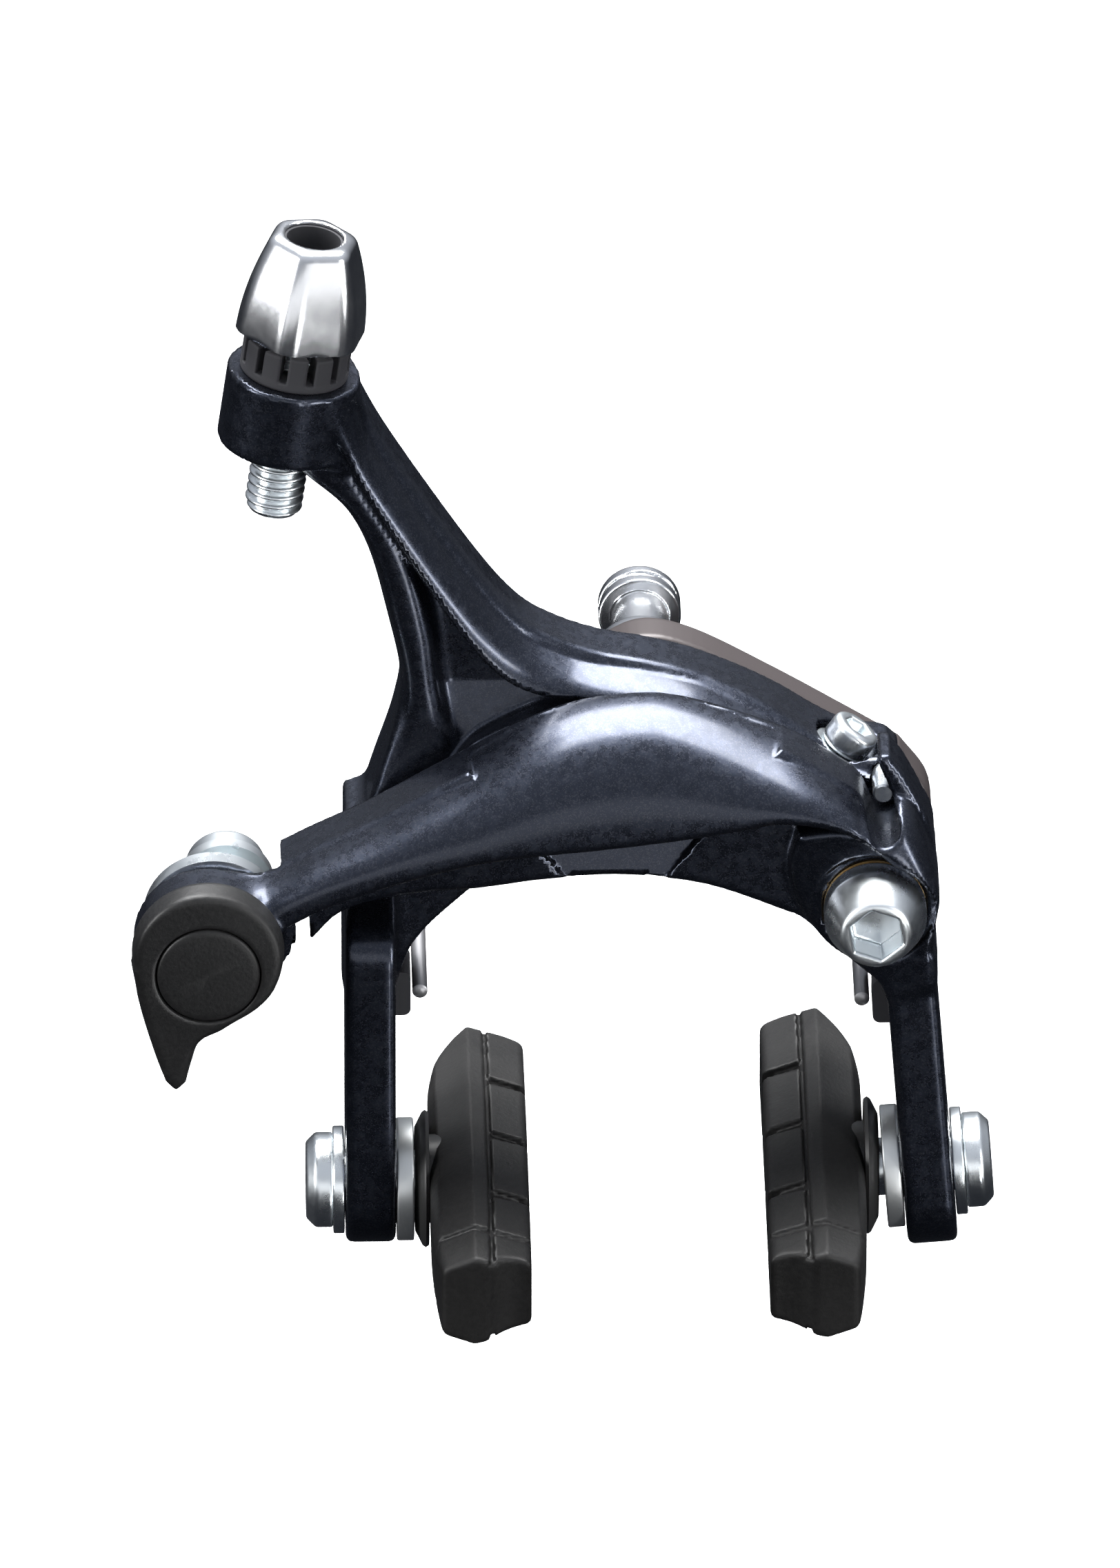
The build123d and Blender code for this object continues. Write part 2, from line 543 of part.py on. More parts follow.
# ======================================================================================
# C-arm: cable end at the left, front arch, side pivot and right leg
# ======================================================================================
with BuildPart() as c_arm:
    with BuildSketch(level(WEB_REAR)):
        with BuildLine():
            crest = Spline(
                (-45.4, -9.4), (-39.4, -8.6), (-34.5, -7.0), (-28.0, -4.2), (-20.3, 0.2), (-10.0, 5.8),
                (-2.0, 7.6), (4.0, 7.1), (14.3, 3.4), (20.6, -0.6)
            )
            dip = Line(crest @ 1, (22.4, -2.0))
            inner_hook = Line(dip @ 1, (23.9, 3.1))
            hook_tip = Line(inner_hook @ 1, (24.7, 2.9))
            shoulder = Spline(hook_tip @ 1, (26.9, 0.2), (29.4, -5.6), (30.1, -14.0), (30.4, -20.0))
            Line(shoulder @ 1, (25.2, -24.0))
            Line((25.2, -24.0), (20.6, -19.6))
            Line((20.6, -19.6), (16.8, -16.2))
            belly = Spline(
                (16.8, -16.2), (6.0, -12.0), (-2.0, -11.0), (-10.0, -11.3), (-17.4, -12.2), (-31.0, -14.2)
            )
            chin = Spline(belly @ 1, (-36.9, -20.0), (-43.0, -24.2))
            Line(chin @ 1, crest @ 0)
        make_face()
    extrude(amount=WEB_T)
    with BuildSketch(level(WEB_FRONT)):
        with BuildLine():
            brow = Spline(
                (-45.4, -9.4), (-39.4, -8.6), (-34.5, -7.0), (-28.0, -4.4), (-20.3, -0.4), (-10.0, 4.8),
                (-2.0, 6.4), (4.0, 6.0), (14.3, 2.4), (22.6, -1.8)
            )
            lip = Line(brow @ 1, (29.0, -6.4))
            cheek = Line(lip @ 1, (29.4, -11.4))
            ridge = Spline(cheek @ 1, (26.0, -7.6), (20.6, -4.0), (14.1, -2.6), (4.4, -4.2), (-4.0, -5.2),
                           (-14.3, -6.4), (-28.0, -9.8), (-36.0, -14.0))
            heel = Line(ridge @ 1, (-43.0, -23.0))
            Line(heel @ 1, brow @ 0)
        make_face()
    extrude(amount=FRONT_T)
    with BuildSketch(level(END_REAR)):
        with Locations((CAM_X, CAM_Z)):
            Circle(END_R)
    extrude(amount=END_FRONT - END_REAR)
    with BuildSketch(level(Y_REAR)):
        with Locations((PIVOT_X, PIVOT_Z)):
            Circle(PIVOT_BOSS_R)
    extrude(amount=WEB_FRONT - Y_REAR)
    with BuildSketch(level(LEG_DEPTH - LEG_HALF)):
        with BuildLine():
            Polyline(
                (22.0, -19.0), (30.2, -15.0), (31.4, -27.0), (26.0, -27.0), (24.4, -25.0), (22.0, -19.0)
            )
        make_face()
    extrude(amount=2 * LEG_HALF)
    add(leg_blank(right_leg, RIGHT_DROP, -22.0 - RIGHT_BOLT_Z))
    add(leg_slot(right_leg, RIGHT_DROP), mode=Mode.SUBTRACT)
    with BuildSketch(level(Y_REAR - 1)):
        with Locations((PIVOT_X, PIVOT_Z)):
            Circle(PIVOT_SLEEVE_R + RUN + BUSH_T)
    extrude(amount=ARM_FRONT, mode=Mode.SUBTRACT)
    with BuildSketch(level(PIVOT_SEAT)):
        with Locations((PIVOT_X, PIVOT_Z)):
            Circle(PIVOT_BOSS_R)
    extrude(amount=10, mode=Mode.SUBTRACT)
    with BuildSketch(level(END_REAR - 8)):
        with Locations((CAM_X, CAM_Z)):
            Circle(CAM_R + RUN)
    extrude(amount=20, mode=Mode.SUBTRACT)
    with BuildSketch(level(WEB_REAR - 1)):
        with Locations((CAM_X, CAM_Z)):
            Circle(END_R + 3)
    extrude(amount=END_REAR - WEB_REAR + 1, mode=Mode.SUBTRACT)
    with BuildSketch(level(Y_FRONT)):
        with Locations(Location((PIN_X - PIN_RUN.X / 2, PIN_Z + PIN_RUN.Z / 2, 0), (0, 0, PIN_RUN_ANGLE))):
            SlotCenterToCenter(PIN_RUN.length, 2 * (PIN_R + PIN_CLEAR))
    extrude(amount=ARM_FRONT, mode=Mode.SUBTRACT)
    # Room for the centre nut over the arm's whole swing.
    with BuildSketch(level(Y_FRONT)):
        with Locations(NUT_PATH):
            Circle(NUT_FLATS / math.sqrt(3) + NUT_ROOM)
    extrude(amount=FACE + NUT_T + BOLT_PROUD + NUT_ROOM, mode=Mode.SUBTRACT)
save(c_arm.part, "c_arm")
PIVOT_BORE_R = PIVOT_SLEEVE_R + RUN
save(turned(PIVOT_X, PIVOT_Z, Y_REAR, PIVOT_SEAT, PIVOT_BORE_R + BUSH_T, PIVOT_BORE_R), "c_arm_bush")

with BuildPart() as spring_right_block:
    with BuildSketch(Plane.XY.offset(RIGHT_FOOT[1] - BLOCK_L / 2)):
        with Locations((RIGHT_FOOT[0] + WIRE_R + GAP, -FOOT_DEPTH + BLOCK_SHIFT)):
            Rectangle(BLOCK_T + 1.5, BLOCK_W, align=(Align.MIN, Align.CENTER))
    extrude(amount=BLOCK_L)
    fillet(spring_right_block.edges().filter_by(Axis.Y).group_by(Axis.X)[0], 0.8)
    add(c_arm.part, mode=Mode.SUBTRACT)
save(spring_right_block.part, "spring_right_block")

# ======================================================================================
# Quick release: lever and cap in front, cam shaft through the arm, cable anchor behind
# ======================================================================================
LEVER_REAR = END_FRONT + FACE
LEVER_FRONT = LEVER_REAR + LEVER_T

with BuildPart() as qr_lever:
    with BuildSketch(level(LEVER_REAR)):
        with Locations((CAM_X, CAM_Z + LEVER_DISC_RISE)):
            Circle(LEVER_DISC_R)
        with BuildLine():
            left_edge = Spline((-53.3, -16.4), (-52.9, -21.5), (-51.4, -27.6), (-50.2, -30.8))
            tip = Spline(left_edge @ 1, (-49.5, -31.4), (-48.9, -30.6))
            right_edge = Spline(tip @ 1, (-48.0, -26.6), (-45.6, -23.6), (-41.6, -21.6), (-38.8, -19.0))
            Line(right_edge @ 1, left_edge @ 0)
        make_face()
    extrude(amount=LEVER_T)
    with BuildSketch(level(LEVER_FRONT - CAP_SINK)):
        with Locations((CAM_X, CAM_Z)):
            Circle(CAP_R + RUN)
    extrude(amount=2.0, mode=Mode.SUBTRACT)
    with BuildSketch(level(LEVER_REAR - 1)):
        with Locations((CAM_X, CAM_Z)):
            Rectangle(CAM_SQUARE, CAM_SQUARE)
    extrude(amount=LEVER_T + 2, mode=Mode.SUBTRACT)
save(qr_lever.part, "qr_lever")
save(turned(CAM_X, CAM_Z, LEVER_FRONT - CAP_SINK, LEVER_FRONT + 0.1, CAP_R), "lever_cap")

ANCHOR_X = CAM_X + ANCHOR_DX
ANCHOR_Z = CAM_Z + ANCHOR_DZ
CHEEK_FRONT = END_REAR - FACE
with BuildPart() as cam_shaft:
    with BuildSketch(level(CHEEK_FRONT)):
        with Locations((CAM_X, CAM_Z)):
            Circle(CAM_R)
    extrude(amount=LEVER_REAR - CHEEK_FRONT)
    with BuildSketch(level(LEVER_REAR)):
        with Locations((CAM_X, CAM_Z)):
            Rectangle(CAM_SQUARE, CAM_SQUARE)
    extrude(amount=LEVER_T - CAP_SINK)
    with BuildSketch(level(CHEEK_FRONT - CHEEK_T)):
        with Locations((CAM_X + 0.6, CAM_Z + 1.0)):
            Circle(END_R - 0.4)
    extrude(amount=CHEEK_T)
    with BuildSketch(level(CHEEK_FRONT - CHEEK_T - 1)):
        with Locations((ANCHOR_X, ANCHOR_Z)):
            Circle(ANCHOR_BOLT_R)
    extrude(amount=CHEEK_T + 1, mode=Mode.SUBTRACT)
save(cam_shaft.part, "cam_shaft")

CLAMP_FRONT = CHEEK_FRONT - CHEEK_T - CABLE_ROOM
with BuildPart() as cable_clamp_plate:
    with BuildSketch(level(CLAMP_FRONT - PLATE_T)):
        with Locations((ANCHOR_X, ANCHOR_Z)):
            Circle(CLAMP_R)
            Circle(ANCHOR_BOLT_R, mode=Mode.SUBTRACT)
    extrude(amount=PLATE_T)
    with BuildSketch(level(CLAMP_FRONT)):
        with Locations((ANCHOR_X - 3.9, ANCHOR_Z)):
            Rectangle(1.4, 4.0)
    extrude(amount=CABLE_ROOM)
save(cable_clamp_plate.part, "cable_clamp_plate")

with BuildPart() as anchor_bolt:
    with BuildSketch(level(CLAMP_FRONT - PLATE_T - ANCHOR_HEAD_T)):
        with Locations((ANCHOR_X, ANCHOR_Z)):
            Circle(ANCHOR_HEAD_R)
    extrude(amount=ANCHOR_HEAD_T)
    chamfer(anchor_bolt.edges().group_by(Axis.Y)[-1], 0.5)
    with BuildSketch(level(CLAMP_FRONT - PLATE_T - ANCHOR_HEAD_T)):
        with Locations((ANCHOR_X, ANCHOR_Z)):
            RegularPolygon(HEX_SOCKET / 2, 6, major_radius=False)
    extrude(amount=2.6, mode=Mode.SUBTRACT)
    with BuildSketch(level(CLAMP_FRONT - PLATE_T)):
        with Locations((ANCHOR_X, ANCHOR_Z)):
            Circle(ANCHOR_BOLT_R)
    extrude(amount=PLATE_T + CABLE_ROOM + CHEEK_T)
save(anchor_bolt.part, "anchor_bolt")

# ======================================================================================
# Shoes: on each leg a bolt with washers slides in the slot, and the shoe tips on it
# ======================================================================================
SHOE_CORE_R = 4.6
CORE_SINK = SHOE_STUD + 0.8  # how far the steel core goes into the rubber
RIDGE_IN = 5.5  # from the braking face back to the shoe's ridge
BACK_STEP = 0.8
BACK_RISE = 1.4


def shoe_carrier(side, leg):
    """The bolt, the outer washer and the spacer that slide along one leg's slot."""
    head = LEG_T + OUTER_WASHER_T + 2 * FACE
    with BuildPart() as bolt:
        with BuildSketch(leg.offset(-SPACER_T - SEAT_WASHER_T - SHOE_STUD)):
            Circle(SHOE_BOLT_R)
        extrude(amount=SPACER_T + SEAT_WASHER_T + SHOE_STUD + head)
        with BuildSketch(leg.offset(head)):
            Circle(SHOE_HEAD_R)
        extrude(amount=SHOE_HEAD_T)
        with BuildSketch(leg.offset(head + SHOE_HEAD_T - 2.0)):
            RegularPolygon(HEX_SOCKET / 2, 6, major_radius=False)
        extrude(amount=3, mode=Mode.SUBTRACT)
    save(bolt.part, f"{side}_shoe_bolt")
    save(ring_on(leg, LEG_T + FACE, head - 0.02, OUTER_WASHER_R, SHOE_BOLT_R), f"{side}_outer_washer")
    save(ring_on(leg, -FACE - SPACER_T, -FACE, SPACER_R, SHOE_BOLT_R), f"{side}_spacer")


def shoe_pieces(side, leg, sign, pitch):
    """The seat washer, steel core and rubber block of one shoe, tipped by its pitch."""
    hub_x = leg.origin.X - sign * (FACE + SPACER_T + (RIGHT_WEDGE if sign > 0 else FACE))
    back = Plane(origin=(hub_x, leg.origin.Y, leg.origin.Z), x_dir=(0, 1, 0), z_dir=(-sign, 0, 0))
    bore = SHOE_BOLT_R + (0.6 if sign > 0 else RUN)
    save(ring_on(back, 0, SEAT_WASHER_T, SEAT_WASHER_R, bore), f"{side}_seat_washer")
    with BuildPart() as core:
        with BuildSketch(back.offset(SEAT_WASHER_T)):
            Circle(SHOE_CORE_R)
        extrude(amount=CORE_SINK)
        with BuildSketch(back.offset(SEAT_WASHER_T - 1)):
            Circle(bore)
        extrude(amount=1 + SHOE_STUD + 0.2, mode=Mode.SUBTRACT)
    save(core.part, f"{side}_shoe_core")
    face_x = hub_x - sign * (SEAT_WASHER_T + SHOE_T)
    ridge_x = face_x + sign * RIDGE_IN
    back_x = face_x + sign * SHOE_T
    mid_y, mid_z = -LEG_DEPTH, leg.origin.Z
    centre_z = mid_z - RIM_RADIUS
    half_arc = math.degrees(SHOE_LEN / 2 / RIM_RADIUS)
    wheel = Axis((0, mid_y, centre_z), (1, 0, 0))
    with BuildPart() as block:
        with BuildSketch(Plane.XZ.offset(LEG_DEPTH)):
            with BuildLine():
                Polyline(
                    (face_x, mid_z + SHOE_FACE), (ridge_x, mid_z + SHOE_RIDGE),
                    (back_x - sign * BACK_STEP, mid_z + SHOE_BACK + BACK_RISE), (back_x, mid_z + SHOE_BACK),
                    (back_x, mid_z - SHOE_BACK), (back_x - sign * BACK_STEP, mid_z - SHOE_BACK - BACK_RISE),
                    (ridge_x, mid_z - SHOE_RIDGE), (face_x, mid_z - SHOE_FACE), close=True
                )
            make_face()
        revolve(axis=wheel, revolution_arc=half_arc)
        other_half = block.part.mirror(Plane.XZ.offset(LEG_DEPTH))
        add(other_half)
        for groove in (-GROOVE_PITCH, 0, GROOVE_PITCH):
            with Locations((face_x + sign * GROOVE_D / 2, mid_y + groove, mid_z)):
                Box(GROOVE_D, GROOVE_W, 3 * SHOE_RIDGE, mode=Mode.SUBTRACT)
        with BuildSketch(back.offset(SEAT_WASHER_T)):
            Circle(SHOE_CORE_R)
        extrude(amount=CORE_SINK, mode=Mode.SUBTRACT)
    tip = Axis((0, leg.origin.Y, leg.origin.Z), (1, 0, 0))
    save(block.part.rotate(tip, pitch), f"{side}_brake_block")


for side, leg, sign, pitch in (("left", left_leg, -1, 0), ("right", right_leg, 1, RIGHT_PITCH)):
    shoe_carrier(side, leg)
    shoe_pieces(side, leg, sign, pitch)
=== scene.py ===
"""Looks of a dual-pivot rim brake caliper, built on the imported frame.

+Z is up, +X is the right-hand side seen from the front, and the front looks along -Y.
Shapes are worked out in millimetres. A depth is a distance forward from the mounting face,
so a depth of d lies at y = -d. Meshes are in metres.
"""

import logging
import math
from dataclasses import dataclass
from enum import Enum
from typing import Callable, Sequence

import bpy
import numpy as np
from mathutils import Matrix, Vector


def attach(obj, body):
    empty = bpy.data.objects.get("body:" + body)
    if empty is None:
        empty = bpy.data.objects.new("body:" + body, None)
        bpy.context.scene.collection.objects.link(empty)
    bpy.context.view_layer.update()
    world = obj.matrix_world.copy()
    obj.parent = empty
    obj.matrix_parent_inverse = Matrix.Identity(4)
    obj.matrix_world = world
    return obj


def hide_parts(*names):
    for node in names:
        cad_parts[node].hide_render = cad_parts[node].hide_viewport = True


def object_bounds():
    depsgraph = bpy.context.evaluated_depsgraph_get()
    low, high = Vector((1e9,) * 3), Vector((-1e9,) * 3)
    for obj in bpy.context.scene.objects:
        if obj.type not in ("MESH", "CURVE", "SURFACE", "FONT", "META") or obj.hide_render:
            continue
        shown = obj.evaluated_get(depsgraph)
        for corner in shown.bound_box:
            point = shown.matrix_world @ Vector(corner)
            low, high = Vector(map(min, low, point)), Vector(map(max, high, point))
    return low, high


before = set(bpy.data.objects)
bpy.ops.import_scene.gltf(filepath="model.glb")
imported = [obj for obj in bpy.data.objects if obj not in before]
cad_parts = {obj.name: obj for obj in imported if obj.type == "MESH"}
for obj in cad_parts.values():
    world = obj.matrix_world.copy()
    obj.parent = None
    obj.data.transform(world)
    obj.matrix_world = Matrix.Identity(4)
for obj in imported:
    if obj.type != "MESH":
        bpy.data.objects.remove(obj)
CAD_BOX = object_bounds()

MM = 0.001
Array = np.ndarray
Point = tuple[float, float]
Vec3 = tuple[float, float, float]
Colour = tuple[float, float, float]
log = logging.getLogger("caliper")


# ======================================================================================
# Solids as signed distances
# ======================================================================================
def soft_min(a: Array, b: Array, radius: float) -> Array:
    """The lower of two distances, with a fillet of about a radius where they meet.

    Args:
        a: First distance.
        b: Second distance.
        radius: Size of the fillet, or 0 for none.

    Returns:
        The blended distance.
    """
    if radius <= 0:
        return np.minimum(a, b)
    share = np.clip(0.5 + 0.5 * (b - a) / radius, 0, 1)
    return b + (a - b) * share - radius * share * (1 - share)


def soft_max(a: Array, b: Array, radius: float) -> Array:
    """The higher of two distances, with a rounded edge of about a radius."""
    return -soft_min(-a, -b, radius)


def eased(low: float, high: float, value: Array) -> Array:
    """Goes smoothly from 0 at low to 1 at high."""
    t = np.clip((value - low) / (high - low), 0, 1)
    return t * t * (3 - 2 * t)


def flow(points: Sequence[Point], per: int = 6) -> list[Point]:
    """A smooth run through points.

    Args:
        points: What the run goes through.
        per: How many short lines make each span.

    Returns:
        The run's points, ends included.
    """
    p = np.array(points, float)
    if len(p) < 3:
        return [tuple(q) for q in p]
    p = np.vstack([2 * p[0] - p[1], p, 2 * p[-1] - p[-2]])
    run = []
    for a, b, c, d in zip(p, p[1:], p[2:], p[3:]):
        for t in np.arange(per) / per:
            square, cube = (2 * a - 5 * b + 4 * c - d) * t**2, (3 * b - a - 3 * c + d) * t**3
            run.append(0.5 * (2 * b + (c - a) * t + square + cube))
    run.append(p[-2])
    return [tuple(q) for q in run]


def height(run: Sequence[Point]) -> Callable[[Array], Array]:
    """The height of a smooth run as a function of x."""
    points = np.array(flow(run, 16))
    return lambda x: np.interp(x, points[:, 0], points[:, 1])


@dataclass(frozen=True)
class Line:
    """An open run in a plane."""

    points: Sequence[Point]

    def distance(self, a: Array, b: Array) -> Array:
        """Distance from points (a, b) to the run."""
        a, b = np.broadcast_arrays(a, b)
        best = np.full(a.shape, 1e9)
        for (x0, y0), (x1, y1) in zip(self.points, self.points[1:]):
            ex, ey, wx, wy = x1 - x0, y1 - y0, a - x0, b - y0
            t = np.clip((wx * ex + wy * ey) / (ex * ex + ey * ey + 1e-12), 0, 1)
            best = np.minimum(best, (wx - t * ex) ** 2 + (wy - t * ey) ** 2)
        return np.sqrt(best)


@dataclass(frozen=True)
class Outline:
    """A closed outline made of runs, with a corner wherever two runs meet."""

    runs: Sequence[Sequence[Point]]

    def points(self) -> list[Point]:
        """The outline's corners and curve points in order."""
        return [p for run in self.runs for p in flow(run)[:-1]]

    def distance(self, a: Array, b: Array) -> Array:
        """Signed distance from points (a, b), negative inside."""
        around = self.points()
        a, b = np.broadcast_arrays(a, b)
        inside = np.zeros(a.shape, bool)
        for (x0, y0), (x1, y1) in zip(around, around[1:] + around[:1]):
            if y0 != y1:
                inside ^= ((y0 > b) != (y1 > b)) & (a < (x1 - x0) * (b - y0) / (y1 - y0) + x0)
        return Line(around + around[:1]).distance(a, b) * np.where(inside, -1.0, 1.0)


@dataclass(frozen=True)
class Form:
    """A solid given by its signed distance in millimetres, negative inside."""

    at: Callable[[Array, Array, Array], Array]

    def join(self, other: "Form", radius: float = 0.0) -> "Form":
        """Both solids together, with a fillet between them."""
        return Form(lambda x, y, z: soft_min(self.at(x, y, z), other.at(x, y, z), radius))

    def trim(self, other: "Form", radius: float = 0.0) -> "Form":
        """This solid with the other cut away, with rounded edges."""
        return Form(lambda x, y, z: soft_max(self.at(x, y, z), -other.at(x, y, z), radius))

    def within(self, other: "Form", radius: float = 0.0) -> "Form":
        """What is inside both solids, with rounded edges."""
        return Form(lambda x, y, z: soft_max(self.at(x, y, z), other.at(x, y, z), radius))


def below(x: float, y: float, z: float, reach: float) -> Form:
    """Everything on the near side of a plane with a normal and a distance along it."""
    size = math.sqrt(x * x + y * y + z * z)
    return Form(lambda a, b, c: (a * x + b * y + c * z) / size - reach)


def plate(outline: Outline, rear: float, front: float, edge: float = 0.8) -> Form:
    """An outline in x and z, filled between two depths, with rounded edges."""
    return Form(lambda x, y, z: soft_max(outline.distance(x, z), np.maximum(rear + y, -y - front), edge))


def side_plate(outline: Outline, left: float, right: float, edge: float = 0.8) -> Form:
    """An outline in depth and z, filled between two x, with rounded edges."""
    return Form(lambda x, y, z: soft_max(outline.distance(-y, z), np.maximum(left - x, x - right), edge))


def rod(x: float, z: float, rear: float, front: float, radius: float, edge: float = 0.0) -> Form:
    """A round bar along y between two depths."""
    return Form(
        lambda a, b, c: soft_max(np.hypot(a - x, c - z) - radius, np.maximum(rear + b, -b - front), edge)
    )


def post(low: float, high: float, radius: float, edge: float = 0.0) -> Form:
    """A round bar along z about the origin between two heights."""
    return Form(lambda x, y, z: soft_max(np.hypot(x, y) - radius, np.maximum(low - z, z - high), edge))


def hexagon(across: float, low: float, high: float, turn: float = 0.0, edge: float = 0.2) -> Form:
    """A six-sided bar along z about the origin.

    Args:
        across: Width across two flats.
        low: Bottom height.
        high: Top height.
        turn: How far it is turned, in degrees.
        edge: Size of the rounding.

    Returns:
        The bar.
    """

    def at(x: Array, y: Array, z: Array) -> Array:
        """Distance to the bar."""
        sides = -1e9
        for k in range(3):
            angle = math.radians(60 * k + turn)
            sides = np.maximum(sides, np.abs(x * math.cos(angle) + y * math.sin(angle)) - across / 2)
        return soft_max(sides, np.maximum(low - z, z - high), edge)

    return Form(at)


def crown(share: Array, width: Array, rise: Array, reach: float, power: Array) -> Array:
    """Distance to a rounded shoulder that goes from full depth on one side to none on the other.

    Args:
        share: Position across, 0 at the full-depth side and 1 at the far side.
        width: How wide the shoulder is there.
        rise: Height as a share of the reach.
        reach: Full depth.
        power: 2 is a quarter ellipse, and more is squarer.

    Returns:
        The distance, negative under the shoulder.
    """
    share, rise = np.clip(share, 1e-4, None), np.clip(rise, 1e-4, None)
    size = (share**power + rise**power) ** (1 / power)
    slope = np.hypot((share / size) ** (power - 1) / width, (rise / size) ** (power - 1) / reach)
    return (size - 1) / slope


# ======================================================================================
# Meshes
# ======================================================================================
@dataclass
class Skin:
    """A mesh in millimetres before it becomes a Blender object."""

    points: Array
    faces: Array
    normals: Array | None = None


def gradient(form: Form, p: Array, step: float) -> tuple[Array, Array]:
    """The distance and its slope at points, from four samples round each.

    Args:
        form: The solid.
        p: Points, one a row.
        step: How far off the samples are.

    Returns:
        Distances, and slopes one a row.
    """
    total, slope = np.zeros(len(p)), np.zeros_like(p)
    for corner in ((1, -1, -1), (-1, -1, 1), (-1, 1, -1), (1, 1, 1)):
        e = np.array(corner, float)
        value = form.at(*(p + step * e).T)
        total += value / 4
        slope += value[:, None] * e / (4 * step)
    return total, slope


def carve(form: Form, low: Vec3, high: Vec3, step: float) -> Skin:
    """Finds the surface of a solid on a grid and then draws every point onto the true surface.

    Args:
        form: The solid.
        low: Lowest corner of the space to look in.
        high: Highest corner.
        step: Size of a grid cell.

    Returns:
        The surface, with the solid's own normals.
    """
    axes = [np.arange(a, b + step, step) for a, b in zip(low, high)]
    grid = np.meshgrid(*axes, indexing="ij", sparse=True)
    value = np.zeros([len(a) for a in axes]) + form.at(*grid)
    cells = [n - 1 for n in value.shape]
    total, count = np.zeros((*cells, 3)), np.zeros(cells)
    quads = []
    number = np.arange(np.prod(cells)).reshape(cells)
    for axis in range(3):
        v = np.moveaxis(value, axis, 0)
        t, c = np.moveaxis(total, axis, 0), np.moveaxis(count, axis, 0)
        n = np.moveaxis(number, axis, 0)
        near, far = v[:-1], v[1:]
        cross = (near < 0) != (far < 0)
        where = np.where(cross, near / np.where(cross, near - far, 1), 0)
        i, j, k = np.nonzero(cross)
        others = [m for m in range(3) if m != axis]
        spot = np.zeros((len(i), 3))
        spot[:, axis] = i + where[i, j, k]
        spot[:, others[0]], spot[:, others[1]] = j, k
        for dj in (0, -1):
            for dk in (0, -1):
                ok = (j + dj >= 0) & (j + dj < c.shape[1]) & (k + dk >= 0) & (k + dk < c.shape[2])
                np.add.at(t, (i[ok], j[ok] + dj, k[ok] + dk), spot[ok])
                np.add.at(c, (i[ok], j[ok] + dj, k[ok] + dk), 1)
        ok = (j > 0) & (j < c.shape[1]) & (k > 0) & (k < c.shape[2])
        i, j, k = i[ok], j[ok], k[ok]
        quad = np.stack([n[i, j - 1, k - 1], n[i, j, k - 1], n[i, j, k], n[i, j - 1, k]], axis=1)
        outward = (near[i, j, k] < 0) == (axis != 1)
        quads.append(np.where(outward[:, None], quad, quad[:, ::-1]))
    used = count.ravel() > 0
    index = np.cumsum(used) - 1
    points = total.reshape(-1, 3)[used] / count.ravel()[used][:, None] * step + np.array(low)
    for _ in range(2):
        off, slope = gradient(form, points, 0.04)
        size = np.maximum((slope**2).sum(1), 0.25)
        points -= slope * np.clip(off / size, -step, step)[:, None]
    _, slope = gradient(form, points, min(0.12, step / 2))
    normals = slope / np.maximum(np.linalg.norm(slope, axis=1), 1e-6)[:, None]
    return Skin(points, index[np.concatenate(quads)], normals)


def lathe(profile: Sequence[Point], sides: int = 64, hollow: bool = False) -> Skin:
    """Turns a profile of (radius, height) about z.

    Args:
        profile: Points from the bottom to the top, with the outside on the right-hand side.
        sides: How many steps round.
        hollow: Whether the profile is a closed loop that makes a ring.

    Returns:
        The turned surface.
    """
    loop = list(profile)
    turns = np.arange(sides) * 2 * math.pi / sides
    points = [(r * math.cos(a), r * math.sin(a), t) for r, t in loop for a in turns]
    faces = []
    rows = len(loop) if hollow else len(loop) - 1
    for i in range(rows):
        for j in range(sides):
            a, b = i * sides, (i + 1) % len(loop) * sides
            faces.append((a + j, a + (j + 1) % sides, b + (j + 1) % sides, b + j))
    return Skin(np.array(points), np.array(faces))


def rounded(corners: Sequence[Point], radius: float, steps: int = 4) -> list[Point]:
    """A closed loop of corners, each rounded by a radius.

    Args:
        corners: The loop.
        radius: Size of the rounding.
        steps: Points along each rounding.

    Returns:
        The rounded loop.
    """
    ring = []
    for i, here in enumerate(corners):
        p, a, b = (np.array(q, float) for q in (here, corners[i - 1], corners[(i + 1) % len(corners)]))
        back, ahead = a - p, b - p
        room = min(np.linalg.norm(back), np.linalg.norm(ahead)) / 2
        r = min(radius, room * 0.98)
        start, end = p + back / np.linalg.norm(back) * r, p + ahead / np.linalg.norm(ahead) * r
        for t in np.linspace(0, 1, steps + 1):
            ring.append(tuple((1 - t) ** 2 * start + 2 * t * (1 - t) * p + t**2 * end))
    return ring


def ring(inner: float, outer: float, low: float, high: float, edge: float = 0.15, sides: int = 72) -> Skin:
    """A washer or bush with rounded edges."""
    loop = rounded([(inner, low), (outer, low), (outer, high), (inner, high)], edge)
    return lathe(loop, sides, hollow=True)


